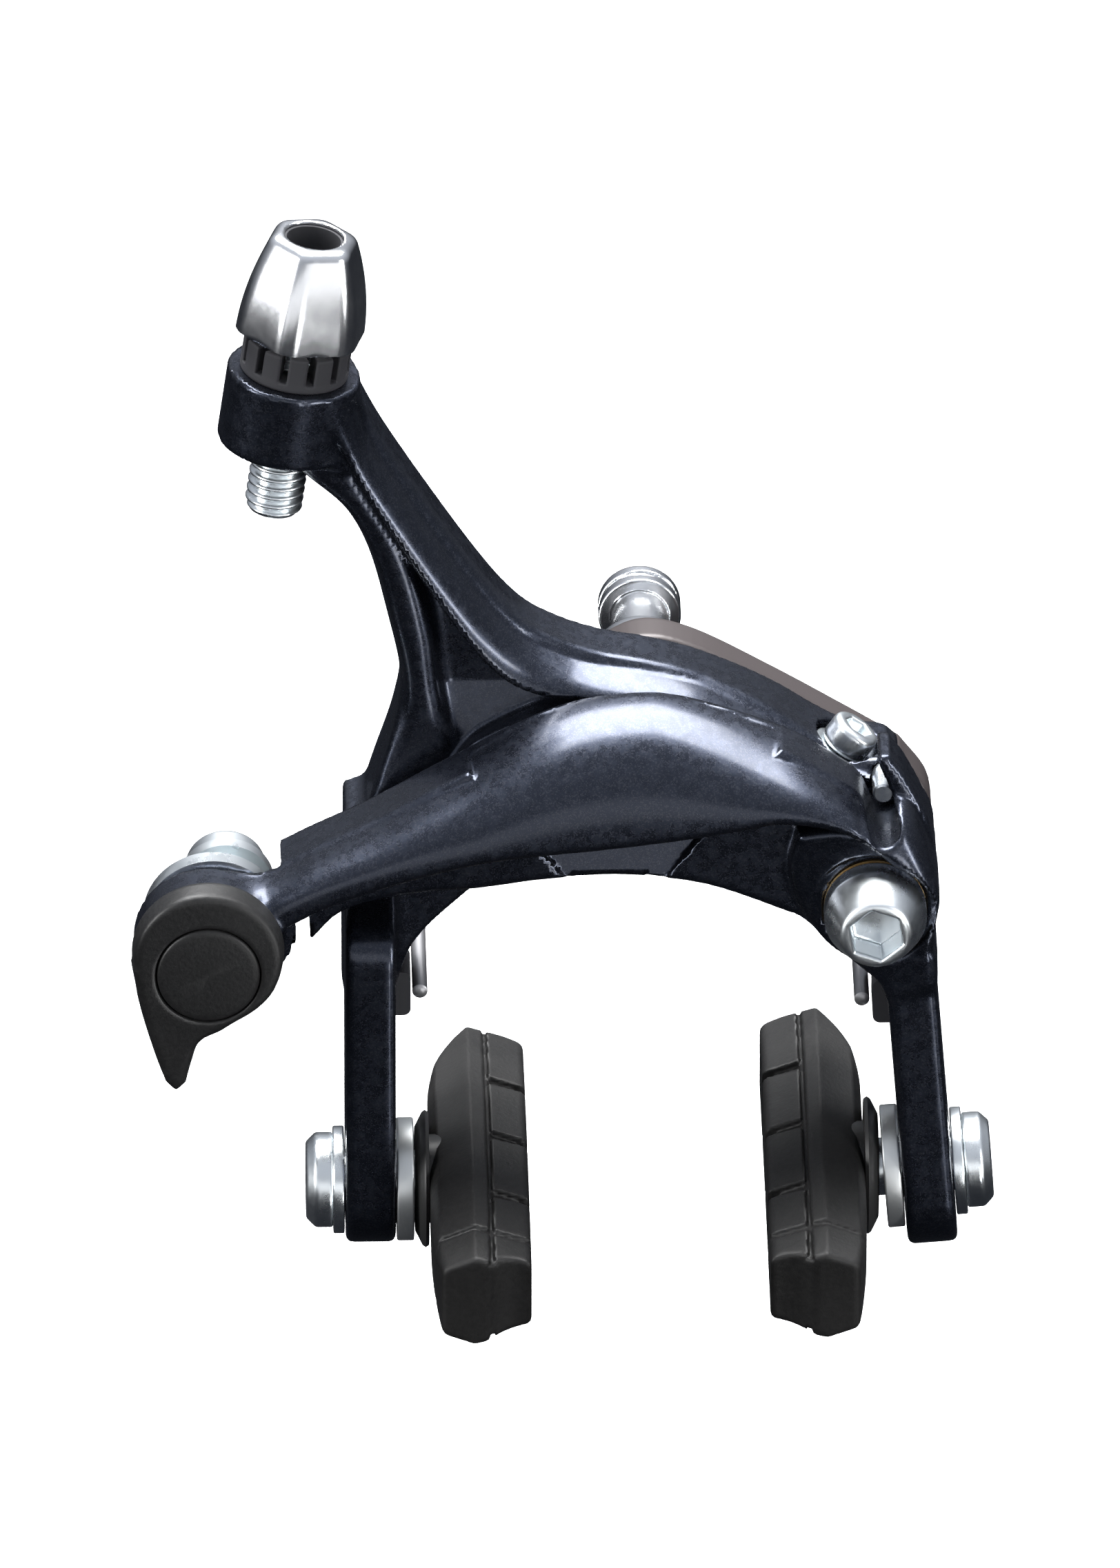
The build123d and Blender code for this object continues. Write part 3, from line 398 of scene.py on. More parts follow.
def screw_thread(core: float, crest: float, pitch: float, low: float, high: float, bore: float = 0.0) -> Skin:
    """A threaded bar along z with a true right-hand spiral.

    Args:
        core: Radius between the ridges.
        crest: Radius on the ridges.
        pitch: Distance from ridge to ridge.
        low: Bottom height.
        high: Top height.
        bore: Radius of a hole right through, or 0.

    Returns:
        The bar.
    """
    sides, rows = 48, int((high - low) / pitch * 10)
    turn = np.arange(sides) * 2 * math.pi / sides
    height = np.linspace(low, high, rows)
    phase = (height[:, None] / pitch - turn[None] / (2 * math.pi)) % 1.0
    ridge = np.clip(1.25 - 2.5 * np.abs(phase - 0.5), 0, 1)
    fade = eased(0, 0.8 * pitch, height - low) * eased(0, 0.4 * pitch, high - height)
    radius = core + (crest - core) * ridge * fade[:, None]
    radius[0] = radius[-1] = core - 0.2
    outer = np.stack([radius * np.cos(turn), radius * np.sin(turn), np.repeat(height[:, None], sides, 1)], -1)
    inner = np.stack([bore * np.cos(turn), bore * np.sin(turn), np.full(sides, high)], -1)
    floor = inner * (1, 1, 0) + (0, 0, low)
    points = np.concatenate([outer.reshape(-1, 3), inner, floor])
    faces = []
    last = rows + 2
    for i in range(last):
        for j in range(sides):
            a, b = i * sides, (i + 1) % last * sides
            faces.append((a + j, a + (j + 1) % sides, b + (j + 1) % sides, b + j))
    return Skin(points, np.array(faces))


def wire(path: Sequence[Vec3], radius: float, sides: int = 16) -> Skin:
    """A round wire along a path, with closed rounded ends.

    Args:
        path: Points along its middle.
        radius: Its radius.
        sides: How many steps round.

    Returns:
        The wire.
    """
    p = np.array(path, float)
    along = np.gradient(p, axis=0)
    along /= np.linalg.norm(along, axis=1)[:, None]
    side = np.cross(along[0], (0.3, 0.9, 0.2))
    turn = np.arange(sides) * 2 * math.pi / sides
    rings = []
    for k, (centre, t) in enumerate(zip(p, along)):
        side = side - t * side.dot(t)
        side /= np.linalg.norm(side)
        up = np.cross(t, side)
        size = radius * (0.55 if k in (0, len(p) - 1) else 1.0)
        rings.append(centre + size * (np.cos(turn)[:, None] * side + np.sin(turn)[:, None] * up))
    faces = [
        (i * sides + j, i * sides + (j + 1) % sides, (i + 1) * sides + (j + 1) % sides, (i + 1) * sides + j)
        for i in range(len(p) - 1)
        for j in range(sides)
    ]
    count = len(p) * sides
    points = np.concatenate([*rings, p[[0, -1]]])
    faces += [(count, (j + 1) % sides, j, j) for j in range(sides)]
    base = (len(p) - 1) * sides
    faces += [(count + 1, base + j, base + (j + 1) % sides, base + (j + 1) % sides) for j in range(sides)]
    return Skin(points, np.array(faces))


def stand(origin: Vec3, up: Vec3, side: Vec3 = (0.0, -1.0, 0.0)) -> Matrix:
    """Where a piece made about its own z axis goes.

    Args:
        origin: Its origin in millimetres.
        up: Its z direction.
        side: Roughly its x direction.

    Returns:
        The placing matrix, in metres for points in millimetres.
    """
    z = Vector(up).normalized()
    x = (Vector(side) - z * Vector(side).dot(z)).normalized()
    y = z.cross(x)
    turn = Matrix((x, y, z)).transposed().to_4x4()
    return Matrix.Translation(Vector(origin) * MM) @ turn @ Matrix.Scale(MM, 4)


HERE = Matrix.Scale(MM, 4)


class Body(Enum):
    """The moving bodies of the frame."""

    MOUNT = "mount"
    UPPER_ARM = "upper_arm"
    KNOB = "knob"
    BARREL = "threaded_barrel"
    SCREW = "screw"
    FRONT_ARM = "front_arm"
    RIGHT_SPRING = "right_spring"
    RELEASE = "release_lever"


def show(name: str, skin: Skin, finish: "Finish", body: str, nodes: Sequence[str], place: Matrix = HERE,
         sharp: float = 40.0) -> bpy.types.Object:
    """Makes one piece, dresses it and sets it on its body in place of CAD nodes.

    Args:
        name: The piece's name.
        skin: Its mesh.
        finish: What it is covered with.
        body: The body it moves with.
        nodes: The CAD nodes it stands for.
        place: Where it goes.
        sharp: Edges turned by more than this, in degrees, stay crisp.

    Returns:
        The new object.
    """
    data = bpy.data.meshes.new(name)
    moved = np.array([(place @ Vector(p))[:] for p in skin.points])
    faces = [[int(v) for v in dict.fromkeys(f)] for f in skin.faces.tolist()]
    data.from_pydata(moved.tolist(), [], faces)
    data.validate()
    data.shade_smooth()
    piece = bpy.data.objects.new(name, data)
    bpy.context.scene.collection.objects.link(piece)
    if skin.normals is not None and len(data.vertices) == len(skin.normals):
        turn = place.to_3x3()
        normals = [(turn @ Vector(n)).normalized()[:] for n in skin.normals]
        data.normals_split_custom_set_from_vertices(normals)
    else:
        data.set_sharp_from_angle(angle=math.radians(sharp))
    data.materials.append(finish.material())
    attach(piece, body)
    if nodes:
        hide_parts(*nodes)
    log.info("%s: %d faces on %s", name, len(data.polygons), body)
    return piece


# ======================================================================================
# Shader maths
# ======================================================================================
class Wire:
    """One value running between shader nodes, which adds, multiplies and compares like a number."""

    def __init__(self, bench: "Bench", socket: bpy.types.NodeSocket) -> None:
        """Keeps the socket and the node tree it is in."""
        self.bench, self.socket = bench, socket

    def _maths(self, operation: str, *values: "Wire | float") -> "Wire":
        """Adds one Math node."""
        return self.bench.node("ShaderNodeMath", {"operation": operation}, dict(enumerate(values)))

    def __add__(self, other: "Wire | float") -> "Wire":
        """Sum."""
        return self._maths("ADD", self, other)

    __radd__ = __add__

    def __sub__(self, other: "Wire | float") -> "Wire":
        """Difference."""
        return self._maths("SUBTRACT", self, other)

    def __rsub__(self, other: "Wire | float") -> "Wire":
        """Difference from a number."""
        return self._maths("SUBTRACT", other, self)

    def __mul__(self, other: "Wire | float") -> "Wire":
        """Product."""
        return self._maths("MULTIPLY", self, other)

    __rmul__ = __mul__

    def spread(self, low: float, high: float, to_low: float = 0.0, to_high: float = 1.0) -> "Wire":
        """Moves values between low and high onto another range, smoothly and with held ends."""
        ends = {0: self, 1: low, 2: high, 3: to_low, 4: to_high}
        return self.bench.node("ShaderNodeMapRange", {"interpolation_type": "SMOOTHSTEP"}, ends)


class Bench:
    """A material's node tree with one method for every node."""

    def __init__(self, name: str) -> None:
        """Starts a material with nothing but its output."""
        self.material = bpy.data.materials.new(name)
        self.material.use_nodes = True
        self.tree = self.material.node_tree
        self.tree.nodes.clear()

    def node(self, kind: str, settings: dict | None = None, inputs: dict | None = None,
             out: int | str = 0) -> Wire:
        """Adds a node.

        Args:
            kind: Its Blender type.
            settings: What is set on the node first.
            inputs: Values or wires for its sockets, by name or number.
            out: The output to hand back.

        Returns:
            That output.
        """
        made = self.tree.nodes.new(kind)
        for key, value in (settings or {}).items():
            setattr(made, key, value)
        for key, value in (inputs or {}).items():
            if isinstance(value, Wire):
                self.tree.links.new(value.socket, made.inputs[key])
            else:
                made.inputs[key].default_value = value
        return Wire(self, made.outputs[out]) if len(made.outputs) else Wire(self, None)

    def noise(self, scale: float, detail: float = 2.0, roughness: float = 0.5) -> Wire:
        """A cloudy value about 0.5 over the piece."""
        spot = self.node("ShaderNodeTexCoord", out="Object")
        inputs = {"Vector": spot, "Scale": scale, "Detail": detail, "Roughness": roughness}
        return self.node("ShaderNodeTexNoise", None, inputs)

    def cells(self, scale: float) -> Wire:
        """A random value for each small cell."""
        spot = self.node("ShaderNodeTexCoord", out="Object")
        colour = self.node("ShaderNodeTexVoronoi", None, {"Vector": spot, "Scale": scale}, "Color")
        return self.node("ShaderNodeSeparateColor", None, {0: colour})

    def edges(self, low: float = 0.51, high: float = 0.58) -> Wire:
        """1 on convex edges and 0 on flats."""
        return self.node("ShaderNodeNewGeometry", out="Pointiness").spread(low, high)

    def mix(self, share: Wire | float, a: Wire | Colour, b: Wire | Colour) -> Wire:
        """A colour between two colours."""
        full = [v if isinstance(v, Wire) else (*v, 1.0) for v in (a, b)]
        return self.node("ShaderNodeMix", {"data_type": "RGBA"}, {0: share, 6: full[0], 7: full[1]}, 2)

    def bump(self, height: Wire, strength: float, distance: float) -> Wire:
        """A normal that follows a height."""
        inputs = {"Height": height, "Strength": strength, "Distance": distance}
        return self.node("ShaderNodeBump", None, inputs)

    def surface(self, **inputs: object) -> bpy.types.Material:
        """Closes the material with a Principled surface.

        Args:
            inputs: Its sockets, with _ for a space.

        Returns:
            The material.
        """
        named = {key.replace("_", " "): value for key, value in inputs.items()}
        shader = self.node("ShaderNodeBsdfPrincipled", None, named)
        self.node("ShaderNodeOutputMaterial", None, {"Surface": shader})
        return self.material


# ======================================================================================
# Finishes
# ======================================================================================
@dataclass(frozen=True)
class Finish:
    """A finish, made once and then shared."""

    name: str
    slot: str

    def material(self) -> bpy.types.Material:
        """The finish as a material."""
        return bpy.data.materials.get(self.name) or self.build(Bench(self.name))

    def build(self, bench: Bench) -> bpy.types.Material:
        """Builds the material."""
        raise NotImplementedError

    def dress(self, *nodes: str) -> None:
        """Puts the finish on CAD nodes that stay in view."""
        for node in nodes:
            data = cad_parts[node].data
            data.materials.clear()
            data.materials.append(self.material())
            log.info("%s: kept and finished in %s", node, self.name)


@dataclass(frozen=True)
class FlakePaint(Finish):
    """Dark metallic paint: a fine flake under a clear coat, with grain and worn edges."""

    colour: Colour = (0.026, 0.031, 0.046)
    bright: Colour = (0.062, 0.066, 0.080)
    edge: Colour = (0.10, 0.105, 0.115)
    roughness: float = 0.27
    metal: float = 0.9
    coat: float = 0.3

    def build(self, bench: Bench) -> bpy.types.Material:
        """Builds the flake, the grain and the coat."""
        flake = bench.cells(8500).spread(0.55, 1.0)
        grain = bench.noise(900, 3, 0.6)
        cloud = bench.noise(38, 3)
        worn = bench.edges(0.53, 0.60) * bench.noise(160, 3).spread(0.45, 0.62)
        colour = bench.mix(flake * 0.55, self.colour, self.bright)
        colour = bench.mix(cloud.spread(0.35, 0.7) * 0.18, colour, tuple(0.6 * c for c in self.colour))
        colour = bench.mix(worn * 0.45, colour, self.edge)
        return bench.surface(
            Base_Color=colour,
            Metallic=self.metal,
            Roughness=grain.spread(0.3, 0.7, self.roughness - 0.05, self.roughness + 0.07) + flake * 0.06,
            Normal=bench.bump(flake * 0.5 + grain * 0.7, 0.10, 0.00012),
            Coat_Weight=self.coat,
            Coat_Roughness=0.16,
        )


@dataclass(frozen=True)
class Polish(Finish):
    """Bright metal, from polished chrome to satin plating, with handling marks and a painted highlight on
    convex edges.
    """

    colour: Colour = (0.80, 0.82, 0.84)
    dull: Colour = (0.55, 0.58, 0.61)
    roughness: float = 0.12
    marks: float = 0.05

    def build(self, bench: Bench) -> bpy.types.Material:
        """Builds the metal, its haze, its fine scratches and a painted highlight on convex edges."""
        haze = bench.noise(120, 4, 0.6)
        marks = bench.noise(1500)
        # Mask for the painted edge highlight: 1 on convex edges.
        edge = bench.edges(0.52, 0.6)
        colour = bench.mix(haze.spread(0.35, 0.75) * 0.5, self.colour, self.dull)
        # Painted highlight: convex edges are mixed halfway towards a brighter metal colour.
        colour = bench.mix(edge * 0.5, colour, tuple(min(1.0, 1.12 * c) for c in self.colour))
        return bench.surface(
            Base_Color=colour,
            Metallic=1.0,
            Roughness=haze.spread(0.3, 0.75, self.roughness, self.roughness + 2 * self.marks)
            + marks * self.marks,
            Normal=bench.bump(marks, 0.05, 0.00004),
        )


@dataclass(frozen=True)
class Moulded(Finish):
    """Moulded plastic or rubber with a fine grain and paler rubbed edges."""

    colour: Colour = (0.02, 0.02, 0.021)
    pale: Colour = (0.07, 0.07, 0.07)
    roughness: float = 0.5
    grain: float = 2600
    depth: float = 0.25

    def build(self, bench: Bench) -> bpy.types.Material:
        """Builds the grain, the dust and the rubbed edges."""
        grain = bench.noise(self.grain, 3, 0.65)
        dust = bench.noise(70, 4, 0.6)
        rubbed = bench.edges(0.51, 0.6) * bench.noise(240, 3).spread(0.35, 0.65)
        colour = bench.mix(grain.spread(0.3, 0.75) * 0.35, self.colour, self.pale)
        colour = bench.mix(dust.spread(0.5, 0.8) * 0.25, colour, self.pale)
        colour = bench.mix(rubbed * 0.6, colour, self.pale)
        return bench.surface(
            Base_Color=colour,
            Roughness=dust.spread(0.3, 0.7, self.roughness - 0.05, self.roughness + 0.1) + grain * 0.08,
            Normal=bench.bump(grain, self.depth, 0.0001),
            Specular_IOR_Level=0.35,
        )


ARM = FlakePaint("arm_flake_paint", "arm_paint")
BRACKET = FlakePaint(
    "bracket_paint", "bracket_paint", (0.018, 0.0172, 0.017), (0.04, 0.038, 0.037), (0.08, 0.076, 0.07),
    roughness=0.46, metal=0.75, coat=0.1,
)
CHROME = Polish("polished_chrome", "chrome", (0.88, 0.89, 0.91), (0.72, 0.74, 0.77), 0.15, 0.04)
ZINC = Polish("satin_zinc", "zinc_steel", (0.84, 0.88, 0.90), (0.66, 0.71, 0.74), 0.2, 0.07)
SPRING = Polish("spring_steel", "spring_steel", (0.05, 0.05, 0.053), (0.03, 0.03, 0.032), 0.4, 0.06)
BRONZE = Polish("bush_bronze", "bronze", (0.62, 0.46, 0.25), (0.4, 0.28, 0.14), 0.3, 0.08)
WASHER = Polish("light_washer", "light_washer", (0.78, 0.81, 0.81), (0.62, 0.66, 0.66), 0.38, 0.08)
OXIDE = Moulded("black_oxide", "black_oxide", (0.010, 0.010, 0.011), (0.035, 0.035, 0.035), 0.34, 1800, 0.1)
PLASTIC = Moulded(
    "black_plastic", "black_plastic", (0.003, 0.003, 0.0033), (0.012, 0.012, 0.012), 0.32, 1500, 0.1
)
LEVER = Moulded("lever_resin", "lever_black", (0.008, 0.008, 0.0083), (0.02, 0.02, 0.02), 0.42, 2200, 0.3)
RUBBER = Moulded("shoe_rubber", "rubber", (0.0035, 0.0033, 0.0033), (0.012, 0.0115, 0.011), 0.5, 1700, 0.4)


# ======================================================================================
# The two forged arms
# ======================================================================================
EYE_UP: Vec3 = (math.sin(math.radians(8.0)), 0.0, math.cos(math.radians(8.0)))
EYE_AT: Vec3 = (-36.7, -15.25, 38.0)
SCREW_TILT = math.radians(55.0)
SCREW_UP: Vec3 = (math.cos(SCREW_TILT), 0.0, math.sin(SCREW_TILT))
SCREW_AT: Vec3 = (19.9, -15.25, -3.0)
SIDE_PIVOT: Point = (23.4, -13.4)
CABLE_END: Point = (-45.4, -17.0)
COUPLING_PIN: Point = (24.4, -3.6)
LEFT_BOLT: Vec3 = (-26.0, -23.0, -48.4)
RIGHT_BOLT: Vec3 = (26.5, -23.0, -47.3)
RIGHT_LEAN = 4.4
SLOT_RADIUS = 3.2
SLOT_TRAVEL = 10.0


def half_round(x: float, z: float, radius: float) -> list[Point]:
    """The lower half of a circle from right to left, or with a negative radius the upper half back."""
    turn = [math.pi * k / 14 for k in range(15)]
    return [(x + radius * math.cos(a), z - radius * math.sin(a)) for a in turn]


def bolt_slot(middle: float, low: float) -> Outline:
    """The upright slot for a shoe bolt.

    Args:
        middle: Depth of its middle.
        low: Height of the bolt at its lower end.

    Returns:
        Its outline in depth and height.
    """
    left, right, high = middle - SLOT_RADIUS, middle + SLOT_RADIUS, low + SLOT_TRAVEL
    return Outline([
        ((left, low), (left, high)),
        half_round(middle, high, -SLOT_RADIUS),
        ((right, high), (right, low)),
        half_round(middle, low, SLOT_RADIUS),
    ])


def facing_front(x: float, z: float) -> Matrix:
    """Where a piece goes that is turned about an axis towards the front, with its z as depth."""
    return stand((x, 0.0, z), (0, -1, 0), (1, 0, 0))


def eye_frame(x: Array, y: Array, z: Array) -> tuple[Array, Array]:
    """Radius and height of points about the cable eye's axis."""
    dx, dz = x - EYE_AT[0], z - EYE_AT[2]
    across = dx * EYE_UP[2] - dz * EYE_UP[0]
    return np.hypot(across, y - EYE_AT[1]), dx * EYE_UP[0] + dz * EYE_UP[2]


def eye_bar(low: float, high: float, radius: float, edge: float = 0.0) -> Form:
    """A round bar on the cable eye's axis."""

    def at(x: Array, y: Array, z: Array) -> Array:
        """Distance to the bar."""
        r, t = eye_frame(x, y, z)
        return soft_max(r - radius, np.maximum(low - t, t - high), edge)

    return Form(at)


def screw_bar(low: float, high: float, radius: float) -> Form:
    """A round bar on the centring screw's axis."""
    ux, _, uz = SCREW_UP

    def at(x: Array, y: Array, z: Array) -> Array:
        """Distance to the bar."""
        dx, dz = x - SCREW_AT[0], z - SCREW_AT[2]
        t = dx * ux + dz * uz
        across = np.hypot(dx * uz - dz * ux, y - SCREW_AT[1])
        return np.maximum(across - radius, np.maximum(low - t, t - high))

    return Form(at)


@dataclass
class UpperArm:
    """The arm behind: cable eye, top limb, arch, leg branch and left leg."""

    rear: float = 10.1
    front: float = 20.4
    leg: tuple[float, float, float, float] = (-31.2, -26.0, 16.5, 29.5)
    bolt_z: float = LEFT_BOLT[2]
    outer: Sequence[Point] = (
        (-31.3, 42.6), (-29.9, 39.4), (-26.4, 32.6), (-18.2, 19.7), (-13.4, 13.6), (-9.4, 11.0),
        (-4.9, 9.3), (0.0, 8.3), (4.7, 7.0), (9.6, 4.9), (13.7, 2.7), (17.8, 0.0), (21.0, -1.6), (25.0, -2.2),
    )
    crease: Sequence[Point] = (
        (-33.6, 42.4), (-31.6, 37.0), (-29.6, 31.3), (-25.4, 23.9), (-20.4, 15.8), (-16.9, 10.8),
        (-13.2, 7.5), (-8.4, 6.1), (-1.9, 5.9), (4.5, 4.9), (9.5, 3.0), (14.4, 0.6), (20.9, -3.0),
        (25.2, -4.4),
    )
    lip: Sequence[Point] = (
        (-19.4, -1.6), (-16.8, 0.9), (-11.7, 3.3), (-8.4, 4.1), (-1.6, 4.5), (4.5, 3.5), (9.5, 1.7),
        (14.4, -0.9), (20.9, -4.7),
    )
    left_side: Sequence[Point] = (
        (-30.5, -26.5), (-30.3, -17.0), (-29.3, -10.5), (-27.8, -5.2), (-25.6, 1.8), (-24.9, 7.3),
        (-26.3, 14.7), (-28.2, 22.1), (-30.8, 27.2), (-34.6, 30.9), (-37.6, 33.6),
    )

    def outline(self) -> Outline:
        """The whole arm seen from the front, without eye and leg."""
        return Outline([
            self.outer,
            ((25.0, -2.2), (26.2, -3.7), (25.0, -5.5)),
            ((25.0, -5.5), (18.5, -6.2), (12.5, -6.6), (6.0, -8.0), (0.0, -8.8), (-8.0, -10.0),
             (-14.0, -13.2), (-19.6, -18.0), (-24.0, -22.6), (-26.0, -26.5)),
            ((-26.0, -26.5), (-30.5, -26.5)),
            self.left_side,
            ((-37.6, 33.6), (-31.3, 42.6)),
        ])

    def rail(self) -> Form:
        """The rounded top limb that runs on into the arch."""
        outer, crease = Line(flow(self.outer)), Line(flow(self.crease))
        top, fold = height(self.outer), height(self.crease)
        region = Outline([self.outer, tuple(reversed(self.crease))])
        depth = self.front - self.rear

        def at(x: Array, y: Array, z: Array) -> Array:
            """Distance to the rounded front."""
            s, e = crease.distance(x, z), outer.distance(x, z)
            tall = np.maximum(top(x) - fold(x), 0.6)
            arch = eased(-15.0, -8.0, x)
            share = (1 - arch) * s / (s + e + 1e-6) + arch * np.clip((z - fold(x)) / tall, -1, 2)
            width = (1 - arch) * (s + e + 0.05) + arch * tall
            power = 2.15 - 0.5 * eased(-16.0, -4.0, x)
            return crown(share, width, (-y - self.rear) / depth, depth, power)

        return plate(region, self.rear, self.front + 1, 0.5).within(Form(at), 0.4)

    def branch(self) -> Form:
        """The dark branch from the eye down to the leg."""
        edge = Outline([
            self.left_side,
            ((-37.6, 33.6), (-32.4, 40.0)),
            ((-32.4, 40.0), (-29.0, 31.0), (-24.6, 23.0), (-22.2, 14.0), (-21.3, 6.7), (-19.8, -1.6),
             (-19.2, -8.0), (-20.4, -15.0), (-24.0, -21.0), (-26.0, -26.5)),
        ])
        return plate(edge, self.rear, 18.9, 1.7)

    def web(self) -> Form:
        """The thinner web in the fork of the arm and behind the lower arch."""
        edge = self.outline()

        def at(x: Array, y: Array, z: Array) -> Array:
            """Distance to the web with its leaning front."""
            face = np.clip(18.4 - 0.30 * (z + 1.0), 16.2, 19.4)
            return soft_max(edge.distance(x, z), np.maximum(self.rear + y, (-y - face) / 1.06), 0.9)

        return Form(at)

    def rim(self) -> Form:
        """The thin lip along the lower edge of the arch."""
        run = Line(flow(self.lip))
        return Form(lambda x, y, z: soft_max(run.distance(x, z) - 0.62, np.maximum(12.0 + y, -y - 20.1), 0.5))

    def foot(self) -> Form:
        """The leg, which steps forward from the arm and ends in a round foot."""
        left, right, rear, front = self.leg
        middle, half, low = (rear + front) / 2, (front - rear) / 2, self.bolt_z
        edge = Outline([
            ((10.1, -8.0), (20.6, -8.0)),
            ((20.6, -8.0), (20.8, -14.4), (23.0, -15.6), (27.6, -17.0), (29.3, -19.0), (front, -22.0)),
            ((front, -22.0), (front, low)),
            half_round(middle, low, half),
            ((rear, low), (rear, -27.0)),
            ((rear, -27.0), (15.6, -23.0), (11.6, -18.4), (10.1, -14.0)),
            ((10.1, -14.0), (10.1, -8.0)),
        ])
        slot = bolt_slot(middle, low)
        return side_plate(edge, left, right, 0.9).trim(side_plate(slot, left - 2, right + 2, 0), 0.35)

    def form(self) -> Form:
        """The finished arm."""
        arm = self.web().join(self.branch(), 1.6).join(self.rim(), 0.5).join(self.rail(), 0.7)
        arm = arm.join(self.foot(), 1.6)
        arm = arm.join(eye_bar(-4.2, 5.2, 6.85, 0.5), 1.8)
        arm = arm.within(Form(lambda x, y, z: eye_frame(x, y, z)[1] - 4.2), 0.3)
        arm = arm.within(Form(lambda x, y, z: self.rear + y), 0.5)
        arm = arm.trim(eye_bar(-20, 20, 3.05), 0.25)
        arm = arm.trim(rod(0, 0, 0, 40, 5.65), 0.3).trim(rod(*COUPLING_PIN, 17.4, 30, 1.1))
        return arm.trim(screw_bar(-12, 12, 1.75), 0.1).trim(screw_bar(0, 12, 3.4), 0.3)

    def build(self, step: float) -> None:
        """Makes the arm and the small pieces fixed to it."""
        skin = carve(self.form(), (-46.0, -30.4, -56.0), (27.4, -9.2, 46.0), step)
        show("upper_arm_forging", skin, ARM, Body.UPPER_ARM.value, ["y_arm"])
        collar = post(4.2, 8.1, 5.6, 0.3).trim(post(-1, 20, 3.05))
        for k in range(12):
            a = math.radians(30 * k + 15)
            slot = below(math.cos(a), math.sin(a), 0, -4.9).at
            side = lambda x, y, z, a=a: np.abs(x * math.sin(a) - y * math.cos(a)) - 0.42
            gap = lambda x, y, z, f=slot, s=side: np.maximum(-f(x, y, z), s(x, y, z))
            notch = Form(lambda x, y, z, g=gap: np.maximum(g(x, y, z), 5.1 - z))
            collar = collar.trim(notch, 0.15)
        collar = collar.join(post(4.2, 5.1, 5.6, 0.2), 0.1)
        skin = carve(collar, (-6.0, -6.0, 3.8), (6.0, 6.0, 8.5), 0.2)
        at = stand(EYE_AT, EYE_UP)
        show("adjuster_click_collar", skin, PLASTIC, Body.UPPER_ARM.value, ["adjuster_collar"], at)
        BRONZE.dress("y_arm_bush")
        pin = lathe([(0.01, -23.4), (0.9, -23.4), (1.1, -23.2), (1.1, -17.4), (0.01, -17.4)], 32)
        at = stand((COUPLING_PIN[0], 0.0, COUPLING_PIN[1]), (0, 1, 0), (1, 0, 0))
        show("coupling_pin_shank", pin, ZINC, Body.UPPER_ARM.value, ["coupling_pin"], at)
        PLASTIC.dress("spring_left_block")


